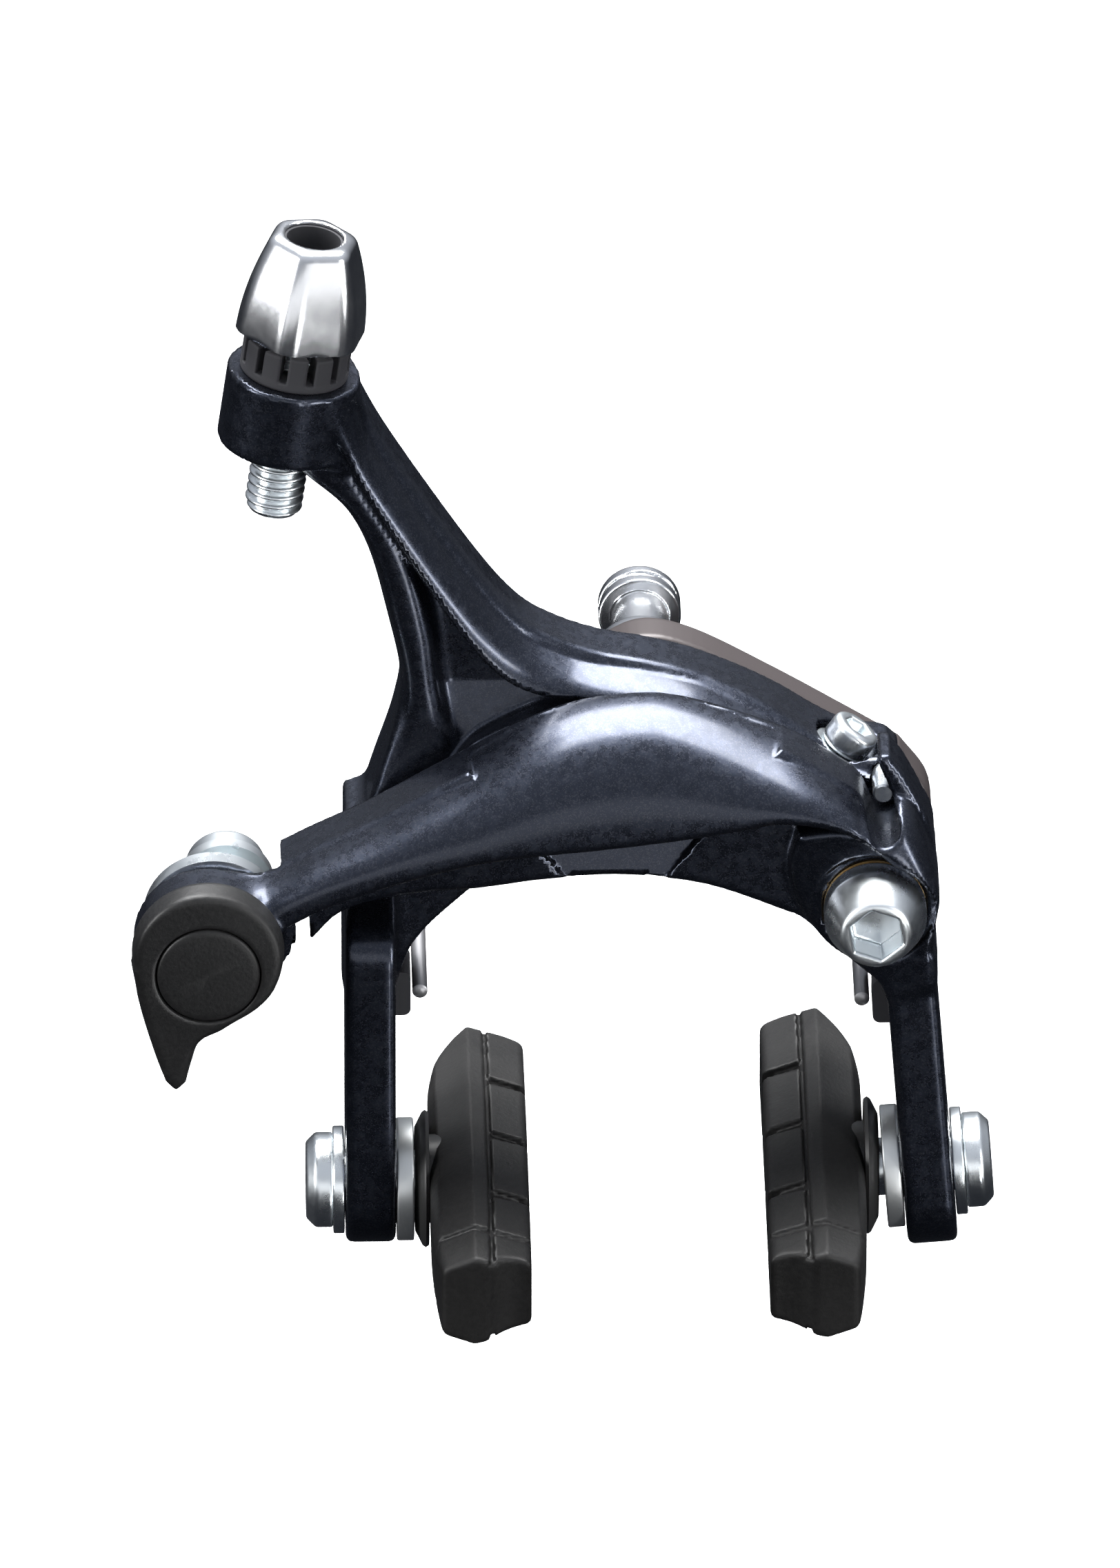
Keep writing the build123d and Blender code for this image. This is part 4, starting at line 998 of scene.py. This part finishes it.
@dataclass
class FrontArm:
    """The arm in front: cable end at the left, domed arch, hook, side pivot and right leg."""

    rear: float = 21.4
    web_front: float = 27.4
    front: float = 32.9
    pivot: Point = SIDE_PIVOT
    end: Point = CABLE_END
    lean: float = RIGHT_LEAN
    bolt: Vec3 = RIGHT_BOLT
    crest: Sequence[Point] = (
        (-48.0, -11.0), (-45.4, -10.8), (-39.4, -9.9), (-34.5, -7.5), (-28.0, -4.2), (-20.3, 0.3),
        (-10.0, 5.8), (-2.0, 7.6), (4.0, 7.1), (14.3, 3.4), (20.6, -0.6), (22.4, -2.0),
    )
    ridge: Sequence[Point] = (
        (-48.0, -24.0), (-43.0, -19.8), (-39.0, -15.2), (-34.0, -12.0), (-28.0, -9.6), (-20.3, -7.3),
        (-14.3, -6.1), (-4.0, -5.0), (4.4, -3.9), (10.0, -2.9), (14.3, -2.3), (20.6, -3.7), (26.0, -8.2),
        (29.2, -13.0),
    )

    def dome(self) -> Form:
        """The domed front between the crest and the ridge."""
        top, low = height((*self.crest, (26.8, -1.6), (30.2, -9.0))), height(self.ridge)

        def at(x: Array, y: Array, z: Array) -> Array:
            """Distance to the dome."""
            zc, zr = top(x), low(x)
            width = np.maximum(zc - zr, 2.0)
            power = 2.1 + 2.2 * (1 - eased(-40.0, -16.0, x)) + 0.8 * eased(12.0, 24.0, x)
            reach = self.front - self.rear + 0.5 * (1 - eased(-46.0, -38.0, x))
            return crown((z - zr) / width, width, (-y - self.rear) / reach, reach, power)

        edge = Outline([
            ((-46.0, -8.0), (-46.0, -22.4)),
            tuple(self.ridge[1:]),
            ((29.2, -13.0), (29.8, -12.6), (29.4, -5.8), (26.9, 0.0), (24.8, 2.9)),
            ((24.8, 2.9), (23.6, 3.0)),
            ((23.6, 3.0), (0.0, 14.0), (-46.0, -8.0)),
        ])
        return Form(at).within(plate(edge, self.rear, 40.0, 0.9), 0.9)

    def web(self) -> Form:
        """The flat lower web, with a facet under the middle of the arch."""
        edge = Outline([
            ((-43.0, -24.4), (-36.9, -20.4), (-34.5, -17.8), (-31.2, -14.6), (-24.6, -12.8), (-17.4, -12.2),
             (-10.1, -11.2), (-2.0, -10.9), (6.1, -12.0), (14.3, -15.2), (17.0, -16.4)),
            ((17.0, -16.4), (20.6, -19.6), (25.2, -24.0)),
            ((25.2, -24.0), (29.2, -22.0)),
            ((29.2, -22.0), (29.7, -14.0), (29.2, -5.8), (26.8, 0.0), (24.9, 2.8)),
            ((24.9, 2.8), (23.8, 2.9)),
            ((23.8, 2.9), (22.4, -2.0)),
            tuple(reversed(self.crest)),
            ((-48.0, -11.0), (-43.0, -24.4)),
        ])
        web = plate(edge, self.rear, self.web_front, 0.7)
        facet = below(0, -0.96, 0.28, 22.75)

        def cut(x: Array, y: Array, z: Array) -> Array:
            """Distance to what the facet takes away."""
            return np.maximum(-facet.at(x, y, z), np.abs(x + 3.2) - 7.6 - 0.8 * (z + 8.0))

        return web.trim(Form(cut), 0.15)

    def shoulder(self) -> Form:
        """The mass round the side pivot, with a round recess for its bolt."""
        edge = Outline([
            ((15.5, -5.0), (20.6, -4.2), (26.0, -6.5), (29.4, -11.0), (29.5, -17.0), (29.2, -22.5)),
            ((29.2, -22.5), (25.2, -24.0)),
            ((25.2, -24.0), (20.4, -19.8), (16.4, -15.8)),
            ((16.4, -15.8), (14.6, -10.0), (15.5, -5.0)),
        ])

        def face(x: Array, y: Array, z: Array) -> Array:
            """Distance to a face that falls back towards the lower left."""
            depth = 30.6 + 0.16 * (x - 23.0) + 0.12 * (z + 8.0)
            return np.maximum((-y - depth) / 1.02, self.rear + y)

        return Form(lambda x, y, z: soft_max(edge.distance(x, z), face(x, y, z), 1.0))

    def leg(self) -> Form:
        """The right leg, which leans outward and ends in a round foot."""
        lean = math.radians(self.lean)
        middle, half, low, high = -self.bolt[1], 6.5, -2.0, 27.4
        rear, front = middle - half, middle + half
        edge = Outline([
            ((rear, high), (front, high)),
            ((front, high), (front, low)),
            half_round(middle, low, half),
            ((rear, low), (rear, high)),
        ])
        slot = side_plate(bolt_slot(middle, low), -2, 8, 0)
        leg = side_plate(edge, 0.0, 5.2, 0.9).trim(slot, 0.35)

        def at(x: Array, y: Array, z: Array) -> Array:
            """Distance to the leg."""
            dx, dz = x - self.bolt[0], z - self.bolt[2]
            out = dx * math.cos(lean) + dz * math.sin(lean)
            return leg.at(out, y, dz * math.cos(lean) - dx * math.sin(lean))

        return Form(at)

    def form(self) -> Form:
        """The finished arm."""
        px, pz = self.pivot
        ex, ez = self.end
        arm = self.web().join(self.dome(), 0.5).join(self.shoulder(), 0.8)
        arm = arm.join(rod(px, pz, 10.1, 29.2, 6.6, 0.4), 0.6)
        arm = arm.join(self.leg(), 1.5)
        arm = arm.join(rod(ex, ez, 27.0, 33.4, 7.6, 0.5), 1.4)
        behind = Form(lambda x, y, z: np.maximum(np.hypot(x - ex, z - ez) - 10.6, -y - 27.0))
        arm = arm.trim(behind, 0.3).trim(rod(ex, ez, 20, 40, 4.05), 0.2)
        arm = arm.trim(rod(px, pz, 5, 29.38, 5.26)).trim(rod(px, pz, 5, 40, 4.06))
        arm = arm.trim(rod(px, pz, 29.44, 45, 6.3, 0.3), 0.45)
        slot = Line([COUPLING_PIN, (22.2, 1.8)])
        arm = arm.trim(Form(lambda x, y, z: slot.distance(x, z) - 1.5), 0.5)
        nut = Line([(0, 0), (-2.4, -4.2)])
        return arm.trim(Form(lambda x, y, z: np.maximum(nut.distance(x, z) - 6.6, -y - 24.1)), 0.2)

    def build(self, step: float) -> None:
        """Makes the arm and dresses what is fixed to it."""
        skin = carve(self.form(), (-54.0, -34.4, -57.0), (33.6, -9.2, 9.0), step)
        show("front_arm_forging", skin, ARM, Body.FRONT_ARM.value, ["c_arm"])
        BRONZE.dress("c_arm_bush")
        PLASTIC.dress("spring_right_block")


# ======================================================================================
# Small pieces
# ======================================================================================
@dataclass
class Adjuster:
    """The barrel adjuster: lobed knob, housing seat and threaded barrel."""

    base: float = 8.2
    tall: float = 11.6
    radius: float = 6.85
    barrel: float = 23.6

    def knob(self) -> Form:
        """A tapered six-sided knob with a rounded mouth and a bevelled lower edge."""
        top = self.base + self.tall

        def at(x: Array, y: Array, z: Array) -> Array:
            """Distance to the knob."""
            r, t = np.hypot(x, y), np.clip(z - self.base, 0, self.tall)
            girth = self.radius + 0.008 * t - 0.0187 * t * t
            slope = np.sqrt(1 + (0.008 - 0.0374 * t) ** 2)
            cone = (r - girth) / slope
            sides = np.full(np.broadcast(x, y, z).shape, -1e9)
            for k in range(6):
                a = math.radians(60 * k + 16)
                flat = x * math.cos(a) + y * math.sin(a) - girth * 0.92
                sides = soft_max(sides, flat / slope, 0.3)
            outer = soft_max(cone, sides, 0.2)
            skirt = (0.9 - t - 1.1 * (r - 6.0)) / 1.49
            outer = soft_max(outer, np.maximum(skirt, self.base - z), 0.2)
            return soft_max(outer, z - top, 0.9)

        body = Form(at).trim(post(self.base - 1, top + 1, 3.05))
        body = body.trim(post(top - 5.6, top - 0.4, 3.2)).trim(post(top - 2, top + 1, 2.75), 0.45)
        return body.trim(post(self.base - 1, self.base + 1.1, 5.3, 0.2), 0.1)

    def build(self, step: float) -> None:
        """Makes the knob, the seat and the barrel."""
        at = stand(EYE_AT, EYE_UP)
        skin = carve(self.knob(), (-7.4, -7.4, 8.9), (7.4, 7.4, 22.1), step * 0.45)
        show("adjuster_lobed_knob", skin, CHROME, Body.KNOB.value, ["adjuster_knob"], at)
        seat = ring(2.8, 3.18, self.base + self.tall - 5.6, self.base + self.tall - 0.42, 0.1)
        show("housing_liner", seat, PLASTIC, Body.KNOB.value, ["housing_seat"], at)
        low = self.base + self.tall - 8.2 - self.barrel
        skin = screw_thread(2.5, 3.0, 1.0, low, low + self.barrel, 1.1)
        show("adjuster_barrel_thread", skin, ZINC, Body.BARREL.value, ["adjuster_bolt"], at, 60)


@dataclass
class Fasteners:
    """Bolts, nuts and washers on the fixed parts, the arms and the cable clamp."""

    clamp_bolt: Point = (-43.4, -14.0)

    def pivot_bolt(self, step: float) -> None:
        """The side pivot bolt with its tall tapered head."""

        def taper(x: Array, y: Array, z: Array) -> Array:
            """Distance to the head's side."""
            t = np.clip(z - 31.9, 0, None)
            return (np.hypot(x, y) - 5.3 + t * 0.36 + 0.012 * t * t) / 1.06

        head = Form(taper).within(Form(lambda x, y, z: np.maximum(29.52 - z, z - 36.1)), 0.55)
        head = head.trim(hexagon(5.0, 32.5, 40.0, 10.0, 0.1), 0.35)
        skin = carve(head, (-5.7, -5.7, 29.2), (5.7, 5.7, 36.5), step * 0.4)
        turned = facing_front(*SIDE_PIVOT)
        show("side_pivot_head", skin, ZINC, Body.MOUNT.value, [], turned)
        shank = lathe(rounded([(0.01, 4.1), (3.0, 4.1), (3.0, 29.6), (0.01, 29.6)], 0.3), 48)
        show("side_pivot_shank", shank, ZINC, Body.MOUNT.value, ["side_pivot_bolt"], turned)

    def centring(self, step: float) -> None:
        """The centring screw and its flange."""
        at = stand(SCREW_AT, SCREW_UP)
        head = post(0.75, 3.75, 2.6, 0.75).trim(hexagon(2.5, 2.1, 5.0, 0.0, 0.1), 0.25)
        head = head.join(post(-8.0, 1.2, 1.7, 0.3), 0.1)
        skin = carve(head, (-2.9, -2.9, -8.4), (2.9, 2.9, 4.1), step * 0.3)
        show("centring_screw_head", skin, ZINC, Body.SCREW.value, ["centring_screw"], at)
        flange = ring(1.75, 3.1, 0.05, 0.7)
        show("centring_flange", flange, ZINC, Body.UPPER_ARM.value, ["centring_ring"], at)

    def rear(self, step: float) -> None:
        """The round nut, the serrated washer and the centre bolt behind the arms."""
        back = stand((0, 0, 0), (0, 1, 0), (1, 0, 0))
        nut = post(9.6, 13.0, 4.3, 0.25).trim(post(9.0, 12.0, 3.02)).trim(hexagon(5.0, 11.0, 14.0), 0.15)
        groove = Form(lambda x, y, z: np.maximum(np.abs(z - 11.3) - 0.4, 4.0 - np.hypot(x, y)))
        skin = carve(nut.trim(groove, 0.12), (-4.7, -4.7, 9.2), (4.7, 4.7, 13.4), step * 0.4)
        show("grooved_round_nut", skin, CHROME, Body.MOUNT.value, ["sleeve_nut"], back)
        bolt = lathe([(0.01, -24.1), (2.5, -24.1), (3.0, -23.6), (3.0, 11.5), (2.5, 12.0), (0.01, 12.0)], 64)
        show("centre_bolt_shaft", bolt, CHROME, Body.MOUNT.value, ["centre_bolt"], back)
        washer = lathe(rounded([(3.02, -1.5), (5.3, -1.5), (5.3, -0.05), (3.02, -0.05)], 0.25), 72, True)
        show("serrated_washer", washer, CHROME, Body.MOUNT.value, ["brake_washer"], back)
        ZINC.dress("centre_sleeve", "side_sleeve", "centre_locknut")

    def clamp(self, step: float) -> None:
        """The cable clamp: cam shaft, clamp plate and anchor bolt behind the front arm's end."""
        at = facing_front(*self.clamp_bolt)
        head = post(17.9, 21.5, 4.2, 0.6).trim(hexagon(5.0, 10.0, 20.5, 0.0, 0.1), 0.3)
        skin = carve(head, (-4.6, -4.6, 17.5), (4.6, 4.6, 21.9), step * 0.4)
        show("cable_anchor_head", skin, ZINC, Body.RELEASE.value, [], at)
        shank = lathe([(0.01, 21.4), (2.45, 21.4), (2.45, 26.9), (0.01, 26.9)], 48)
        show("cable_anchor_shank", shank, ZINC, Body.RELEASE.value, ["anchor_bolt"], at)
        ZINC.dress("cable_clamp_plate", "cam_shaft")

    def build(self, step: float) -> None:
        """Makes every fastener here."""
        self.pivot_bolt(step)
        self.centring(step)
        self.rear(step)
        self.clamp(step)


@dataclass
class Bracket:
    """The fixed link behind the arms that carries both pivots and the spring."""

    rear: float = 5.1
    front: float = 10.0
    coil: float = 4.75
    wire_radius: float = 0.8
    depth: float = 3.5
    foot_depth: float = 19.0
    lug_gap: float = 10.8

    def form(self) -> Form:
        """The link plate with its hub and lug."""
        edge = Outline([
            ((-5.6, 5.4), (-0.5, 7.9), (5.0, 6.8), (13.0, 2.4), (20.5, -2.2), (26.5, -6.0)),
            ((26.5, -6.0), (29.5, -10.6), (29.3, -16.2), (25.6, -19.8)),
            ((25.6, -19.8), (20.0, -19.0), (13.0, -14.0), (0.0, -9.8), (-7.6, -6.8)),
            ((-7.6, -6.8), (-9.1, -1.0), (-5.6, 5.4)),
        ])
        link = plate(edge, self.rear, self.front, 0.9).join(rod(0, 0, 1.5, 6.0, 3.88, 0.15), 0.2)
        ux, _, uz = SCREW_UP
        cx, cz = SCREW_AT[0] - ux * self.lug_gap, SCREW_AT[2] - uz * self.lug_gap

        def lug(x: Array, y: Array, z: Array) -> Array:
            """Distance to the lug that the centring screw pushes on."""
            along, across = (x - cx) * ux + (z - cz) * uz, (x - cx) * uz - (z - cz) * ux
            side = soft_max(np.abs(along) - 2.5, np.abs(across) - 2.2, 0.7)
            return soft_max(side, np.maximum(8.0 + y, -y - 17.8), 0.3)

        link = link.join(Form(lug), 0.5).trim(rod(0, 0, 0, 20, 3.02), 0.2)
        return link.trim(rod(*SIDE_PIVOT, 0, 20, 3.02), 0.2)

    def spring_leg(self, name: str, angle: float, side: int, foot: Point, body: str) -> None:
        """One straight spring leg with its toe bent forward.

        Args:
            name: The CAD node it stands for.
            angle: Where on the bow it starts, in radians.
            side: Which way it leaves the bow.
            foot: Where its knee is, in x and z.
            body: The body it moves with.
        """
        along = np.array([side * math.sin(angle), 0, -side * math.cos(angle)])
        start = np.array([self.coil * math.cos(angle), -self.depth, self.coil * math.sin(angle)])
        start = start + 0.3 * along
        knee = np.array([foot[0], -self.depth, foot[1]])
        way = (knee - start) / np.linalg.norm(knee - start)
        bend = [(1 - t) ** 2 * (knee - 2 * way) + 2 * t * (1 - t) * knee + t * t * (knee + (0, -2, 0))
                for t in np.linspace(0, 1, 9)]
        path = [start, start + 0.15 * way, start + (knee - start) * 0.5, *bend,
                (foot[0], -self.foot_depth + 0.2, foot[1]), (foot[0], -self.foot_depth, foot[1])]
        show(f"{name}_wire", wire(path, self.wire_radius), SPRING, body, [name])

    def build(self, step: float) -> None:
        """Makes the bracket, the spring and its cover."""
        skin = carve(self.form(), (-10.0, -18.4, -20.6), (30.2, -0.9, 8.8), step)
        show("pivot_link_bracket", skin, BRACKET, Body.MOUNT.value, ["support_bracket"])
        left, right = (-23.45 + 0.1, -28.6), (22.4, -30.0)
        start = math.atan2(right[1], right[0]) + math.acos(self.coil / math.hypot(*right))
        stop = math.atan2(left[1], left[0]) - math.acos(self.coil / math.hypot(*left)) + 2 * math.pi
        turn = np.linspace(start, stop, 40)
        path = [(self.coil * math.cos(a), -self.depth, self.coil * math.sin(a)) for a in turn]
        show("spring_bow_wire", wire(path, self.wire_radius), SPRING, Body.MOUNT.value, ["spring_bow"])
        self.spring_leg("spring_left_leg", stop, -1, left, Body.UPPER_ARM.value)
        self.spring_leg("spring_right_leg", start, 1, right, Body.RIGHT_SPRING.value)
        PLASTIC.dress("spring_cover")


@dataclass
class QuickRelease:
    """The quick-release lever and its flush cap."""

    centre: Point = CABLE_END
    rear: float = 33.5
    front: float = 36.7

    def form(self) -> Form:
        """The lever: a round head that narrows into a hooked tail."""
        cx, cz = self.centre
        tail = Outline([
            ((-53.3, -16.4), (-52.7, -21.0), (-51.2, -26.6), (-50.0, -30.2)),
            ((-50.0, -30.2), (-48.8, -31.3), (-47.6, -30.3)),
            ((-47.6, -30.3), (-46.9, -27.5), (-46.0, -25.2), (-43.2, -23.5), (-38.2, -18.8)),
            ((-38.6, -18.8), (-45.0, -12.0), (-53.3, -16.4)),
        ])

        def outline(x: Array, z: Array) -> Array:
            """Distance to head and tail together."""
            return soft_min(np.hypot(x - cx, z - cz - 1.6) - 7.95, tail.distance(x, z), 0.6)

        def at(x: Array, y: Array, z: Array) -> Array:
            """Distance to the lever, whose tail falls back towards the tip."""
            face = self.front - 0.03 * np.clip(-20.0 - z, 0, 20) ** 1.5
            side = outline(x, z) + 0.12 * (np.clip(-y - self.rear, 0, None))
            return soft_max(side, np.maximum(self.rear + y, -y - face), 0.8)

        return Form(at).trim(rod(cx, cz, self.front - 1.0, 40, 5.45), 0.3)

    def build(self, step: float) -> None:
        """Makes the lever and the cap."""
        skin = carve(self.form(), (-54.4, -37.2, -32.2), (-36.6, -33.0, -6.6), step * 0.6)
        show("release_lever_shell", skin, LEVER, Body.RELEASE.value, ["qr_lever"])
        rim = [(5.3, 35.7), (5.3, 36.45), (5.2, 36.62), (5.0, 36.72)]
        cap = lathe([*rim, (4.5, 36.76), (2.5, 36.8), (0.01, 36.8)], 96)
        at = facing_front(self.centre[0], self.centre[1])
        show("release_lever_cap", cap, LEVER, Body.RELEASE.value, ["lever_cap"], at)


@dataclass
class Shoe:
    """One brake shoe with its bolt, washers and spacer."""

    side: str
    origin: Vec3
    sign: int
    lean: float = 0.0
    pitch: float = 0.0
    wheel: float = 306.0
    length: float = 50.0
    thick: float = 10.2

    def block(self) -> Form:
        """The rubber block, in x outward from the braking face, y along the rim and z up."""

        def at(x: Array, y: Array, z: Array) -> Array:
            """Distance to the block."""
            r = np.hypot(y, z + self.wheel)
            s, h = y * (self.wheel / r), r - self.wheel
            end = np.clip((np.abs(s) - 12.0) / 13.0, 0, 1)
            back = self.thick - np.where(s > 0, 4.2, 1.0) * end**2.2
            tall = np.interp(x, [0.0, 5.4, 5.9, 9.4, 10.2], [4.0, 5.75, 5.9, 4.4, 3.0])
            tall = tall * (1 - 0.1 * end**3)
            body = soft_max(np.abs(h) - tall, np.maximum(-x, x - back), 0.7)
            tip = np.abs(s) - (self.length / 2 - 0.10 * np.clip(3.2 - x, 0, 4) ** 2)
            body = soft_max(body, tip, 0.6)
            insert = np.maximum(np.abs(x - 4.1) - 0.22, -(np.abs(h) - tall + 0.45))
            body = soft_max(body, -insert, 0.15)
            for k in (-1, 0, 1):
                cut = np.maximum(np.abs(s - 12.0 * k) - 0.55 - 0.06 * x, x - 3.9)
                body = soft_max(body, -np.maximum(cut, -(np.abs(h) - tall + 0.75)), 0.2)
                body = soft_max(body, -np.maximum(np.abs(s - 12.0 * k) - 0.55, x - 1.3), 0.15)
            step = np.maximum(np.abs(s + 19.6) - 0.35, -(np.abs(h) - tall + 0.4))
            body = soft_max(body, -step, 0.3)
            scoop = np.hypot(x - 1.2, s + self.length / 2 + 2.6) - 4.2
            return soft_max(body, -scoop, 0.5)

        return Form(at)

    def build(self, step: float) -> None:
        """Makes every piece of the shoe."""
        lean, sign = math.radians(self.lean), self.sign
        x0, y0, z0 = self.origin
        leg = stand(self.origin, (sign * math.cos(lean), 0, math.sin(lean)))
        side, carrier, shoe = self.side, f"{self.side}_carrier", f"{self.side}_shoe"
        bevel = Form(lambda x, y, z: (np.hypot(x, y) + z - 13.25) / 1.414)
        head = post(6.5, 9.3, 4.95, 0.25).within(bevel, 0.2)
        head = head.trim(hexagon(5.0, 7.3, 12.0, 0.0, 0.1), 0.3)
        skin = carve(head, (-5.3, -5.3, 6.2), (5.3, 5.3, 9.7), step * 0.4)
        show(f"{side}_shoe_bolt_head", skin, ZINC, carrier, [], leg)
        shank = lathe([(0.01, -7.3), (3.0, -7.3), (3.0, 6.6), (0.01, 6.6)], 48)
        show(f"{side}_shoe_bolt_shank", shank, ZINC, carrier, [f"{side}_shoe_bolt"], leg)
        washer, spacer = ring(3.02, 5.6, 5.3, 6.48, 0.2), ring(3.02, 6.4, -1.9, -0.1, 0.25)
        show(f"{side}_outer_washer_ring", washer, ZINC, carrier, [f"{side}_outer_washer"], leg)
        show(f"{side}_spacer_ring", spacer, WASHER, carrier, [f"{side}_spacer"], leg)
        room = 6.4 * math.sin(lean) + 0.1 if sign > 0 else 0.1
        hub = x0 - sign * (1.9 + room)
        back = stand((hub, y0, z0), (-sign, 0, 0))
        dome = [(3.7, 0.0), (5.4, 0.0), (6.9, 0.75), (7.15, 1.1), (6.9, 1.45), (3.7, 1.5)]
        show(f"{side}_seat_washer_dome", lathe(dome, 72, True), OXIDE, shoe, [f"{side}_seat_washer"], back)
        OXIDE.dress(f"{side}_shoe_core")
        face = hub - sign * (1.5 + self.thick)
        skin = carve(self.block(), (-0.5, -26.0, -8.4), (10.8, 26.0, 7.0), step * 0.7)
        if sign < 0:
            skin = Skin(skin.points * (-1, 1, 1), skin.faces[:, ::-1], skin.normals * (-1, 1, 1))
        tip = Matrix.Rotation(math.radians(self.pitch), 4, "X")
        at = Matrix.Translation(Vector((face, y0, z0)) * MM) @ tip @ Matrix.Scale(MM, 4)
        show(f"{side}_shoe_rubber", skin, RUBBER, shoe, [f"{side}_brake_block"], at)


# ======================================================================================
# Studio
# ======================================================================================
@dataclass
class Studio:
    """Camera, soft lights and a plain pale floor."""

    azimuth: float = -1.15
    elevation: float = 28.0
    distance: float = 4.0
    lens: float = 886.6
    aim: tuple[float, float] = (-0.00847, -0.01286)
    floor_drop: float = 0.25

    def camera(self) -> None:
        """Sets the camera on the viewing direction."""
        a, e = math.radians(self.azimuth), math.radians(self.elevation)
        back = Vector((math.sin(a) * math.cos(e), -math.cos(a) * math.cos(e), math.sin(e)))
        right = Vector((math.cos(a), math.sin(a), 0))
        up = back.cross(right)
        data = bpy.data.cameras.new("camera")
        data.lens, data.sensor_width = self.lens, 36.0
        data.clip_start, data.clip_end = 0.01, 50.0
        camera = bpy.data.objects.new("camera", data)
        bpy.context.scene.collection.objects.link(camera)
        camera.rotation_mode = "QUATERNION"
        camera.rotation_quaternion = (-back).to_track_quat("-Z", "Y")
        camera.location = right * self.aim[0] + up * self.aim[1] + back * self.distance
        bpy.context.scene.camera = camera

    def softbox(self, name: str, at: Vec3, to: Vec3, size: tuple[float, float], power: float,
                tint: Colour = (1, 1, 1)) -> None:
        """One rectangular light that the camera doesn't see.

        Args:
            name: Its name.
            at: Where it hangs, in metres.
            to: What it points at.
            size: Width and height.
            power: Watts.
            tint: Colour.
        """
        data = bpy.data.lights.new(name, "AREA")
        data.shape, data.size, data.size_y = "RECTANGLE", size[0], size[1]
        data.energy, data.color = power, tint
        lamp = bpy.data.objects.new(name, data)
        bpy.context.scene.collection.objects.link(lamp)
        lamp.location = at
        lamp.rotation_mode = "QUATERNION"
        lamp.rotation_quaternion = (Vector(to) - Vector(at)).to_track_quat("-Z", "Y")
        lamp.visible_camera = False

    def floor(self) -> None:
        """The plain pale floor, well below the hanging part."""
        low = CAD_BOX[0].z - self.floor_drop
        data = bpy.data.meshes.new("studio_floor")
        data.from_pydata([(-6, -6, low), (6, -6, low), (6, 6, low), (-6, 6, low)], [], [(0, 1, 2, 3)])
        floor = bpy.data.objects.new("studio_floor", data)
        bpy.context.scene.collection.objects.link(floor)
        bench = Bench("pale_floor")
        data.materials.append(bench.surface(
            Base_Color=(0.9, 0.9, 0.9, 1), Roughness=0.9, Emission_Color=(1, 1, 1, 1), Emission_Strength=0.75
        ))
        floor.visible_glossy = False
        floor.visible_diffuse = False

    def world(self) -> None:
        """Dim surroundings for the part and a pale backdrop for the camera."""
        world = bpy.data.worlds.new("studio")
        world.use_nodes = True
        tree = world.node_tree
        tree.nodes.clear()
        ray = tree.nodes.new("ShaderNodeLightPath")
        spot = tree.nodes.new("ShaderNodeTexCoord")
        split = tree.nodes.new("ShaderNodeSeparateXYZ")
        ramp = tree.nodes.new("ShaderNodeValToRGB")
        ramp.color_ramp.elements[0].position = 0.42
        ramp.color_ramp.elements[0].color = (0.018, 0.02, 0.025, 1)
        ramp.color_ramp.elements[1].position = 0.85
        ramp.color_ramp.elements[1].color = (0.50, 0.53, 0.59, 1)
        half = tree.nodes.new("ShaderNodeMapRange")
        half.inputs[1].default_value, half.inputs[2].default_value = -1, 1
        dim, pale = tree.nodes.new("ShaderNodeBackground"), tree.nodes.new("ShaderNodeBackground")
        pale.inputs[0].default_value = (0.93, 0.93, 0.93, 1)
        mix, out = tree.nodes.new("ShaderNodeMixShader"), tree.nodes.new("ShaderNodeOutputWorld")
        for a, b in (
            (spot.outputs["Generated"], split.inputs[0]), (split.outputs[2], half.inputs[0]),
            (half.outputs[0], ramp.inputs[0]), (ramp.outputs[0], dim.inputs[0]),
            (ray.outputs["Is Camera Ray"], mix.inputs[0]), (dim.outputs[0], mix.inputs[1]),
            (pale.outputs[0], mix.inputs[2]), (mix.outputs[0], out.inputs[0]),
        ):
            tree.links.new(a, b)
        bpy.context.scene.world = world

    def build(self) -> None:
        """Sets up the studio."""
        self.camera()
        self.floor()
        self.world()
        self.softbox("top_light", (0.0, 0.18, 0.62), (0, 0, 0), (0.62, 0.5), 22.0)
        self.softbox("right_strip", (0.62, -0.5, 0.12), (0, 0, 0), (0.12, 0.5), 4.0)
        self.softbox("left_card", (-0.75, -0.35, 0.25), (0, 0, 0), (0.25, 0.5), 6.0)
        self.softbox("front_card", (0.0, -0.8, 0.09), (0, 0, 0), (1.6, 0.3), 1.4)
        self.softbox("crease_card", (0.3, -0.86, -0.2), (0, 0, 0), (0.16, 0.22), 1.3)
        bpy.context.scene.view_settings.view_transform = "Standard"


def main() -> None:
    """Builds each sub-assembly and the studio."""
    logging.basicConfig(level=logging.INFO, format="%(name)s %(message)s")
    step = 0.5
    UpperArm().build(step)
    FrontArm().build(step)
    Adjuster().build(step)
    Fasteners().build(step)
    Bracket().build(step)
    QuickRelease().build(step)
    Shoe("left", LEFT_BOLT, -1).build(step)
    Shoe("right", RIGHT_BOLT, 1, lean=RIGHT_LEAN, pitch=2.0).build(step)
    Studio().build()


if __name__ == "__main__":
    main()
